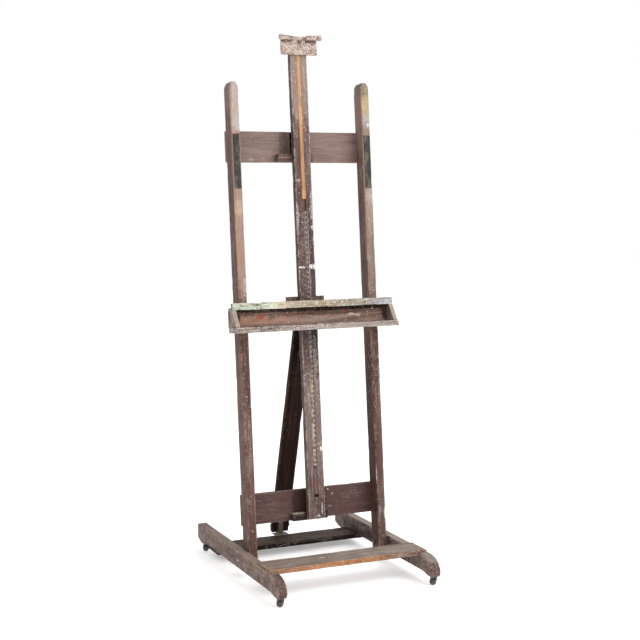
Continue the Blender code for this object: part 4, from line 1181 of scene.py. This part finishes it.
BACKWARD, FORWARD, UPWARD = (0, 1, 0), (0, -1, 0), (0, 0, 1)
for middle in (1.63375, 0.2545):
    for side in (-1, 1):
        for dx, dz in ((-0.007, -0.036), (0.007, 0.036)):
            screw("board", (side * 0.272 + dx, BOARD_BACK, middle + dz), BACKWARD,
                "leaning_frame", 0.0042, 0.0004)
for side in (-1, 1):
    for dx, s in ((0.0085, 0.968), (-0.012, 1.0475), (0.011, 1.0475)):
        screw("keeper", (side * 0.05 + dx, KEEPER_N[1], s), BACKWARD, "tray", 0.0036, 0.0004)
for x in (-0.062, -0.048, 0.056):
    screw("keeper", (x, KEEPER_N[0], 1.049), FORWARD, "tray", 0.003, 0.0005)
for tooth in (1, 11, 21, 32, 42, 50):
    screw("rack", (0.0, RACK_FACE, RACK_LOW + TOOTH_PITCH * tooth), FORWARD, "leaning_frame",
        0.0026, 0.0002, finish=iron)
for x in (-0.307, 0.307):
    for y in (-0.19, -0.232):
        screw("front_board", (x, y, FRONT_BOARD_Z[1]), UPWARD, "base", 0.0042, 0.0002, BASE)
for x in (-0.019, 0.019):
    screw("bracket", (x, 0.3664, 0.0493), UPWARD, "base", 0.0034, 0.0006, BASE)

# ---- softer shading on everything that was built here ----
for obj in list(bpy.context.scene.objects):
    if obj.type == "MESH" and obj.name not in nodes and obj.data.polygons:
        for poly in obj.data.polygons:
            poly.use_smooth = True
        obj.data.set_sharp_from_angle(angle=math.radians(38))
        weights = obj.modifiers.new("weights", "WEIGHTED_NORMAL")
        weights.keep_sharp = True

bpy.data.materials.remove(CUTTER)

# ---- floor, light and camera ----
bm = bmesh.new()
bmesh.ops.create_grid(bm, x_segments=2, y_segments=2, size=12.0)
floor = linked("floor", to_mesh("floor", bm))
floor_mat = bpy.data.materials.new("floor")
floor_mat.use_nodes = True
floor_inputs = floor_mat.node_tree.nodes["Principled BSDF"].inputs
for socket, value in (
        ("Base Color", (0.93, 0.93, 0.93, 1)), ("Emission Color", (1, 1, 1, 1)),
        ("Emission Strength", 0.26), ("Roughness", 0.9), ("Specular IOR Level", 0.1)):
    floor_inputs[socket].default_value = value
floor.data.materials.append(floor_mat)
floor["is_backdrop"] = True

bpy.context.scene.view_settings.view_transform = "Standard"

world = bpy.data.worlds.new("studio")
world.use_nodes = True
sky = world.node_tree.nodes["Background"]
sky.inputs["Color"].default_value = (1.0, 1.0, 1.0, 1.0)
sky.inputs["Strength"].default_value = 1.0
bpy.context.scene.world = world


def lamp(name, place, target, size, power, tint):
    """A square soft light that looks at a target."""
    light = bpy.data.lights.new(name, "AREA")
    light.shape = "SQUARE"
    light.size = size
    light.energy = power
    light.color = tint
    obj = linked(name, light)
    obj.location = place
    obj.rotation_euler = (Vector(target) - Vector(place)).to_track_quat("-Z", "Y").to_euler()


lamp("key", (1.7, -2.5, 3.1), (0.0, 0.0, 1.2), 2.4, 110.0, (1.0, 0.985, 0.965))
lamp("fill", (-2.6, -3.4, 2.4), (0.0, 0.0, 1.0), 2.4, 20.0, (0.97, 0.985, 1.0))

HEADING = math.radians(24.51)
DIP = math.radians(6.137)
camera_data = bpy.data.cameras.new("camera")
camera_data.sensor_width = 36.0
camera_data.lens = 74.17
camera = linked("camera", camera_data)
camera.location = (-2.0481, -4.5528, 1.5)
sight = Vector((math.sin(HEADING) * math.cos(DIP), math.cos(HEADING) * math.cos(DIP),
        -math.sin(DIP)))
camera.rotation_euler = sight.to_track_quat("-Z", "Y").to_euler()
bpy.context.scene.camera = camera

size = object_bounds()
({"cad": [list(corner) for corner in cad_bounds],
        "visual": [list(corner) for corner in size]})
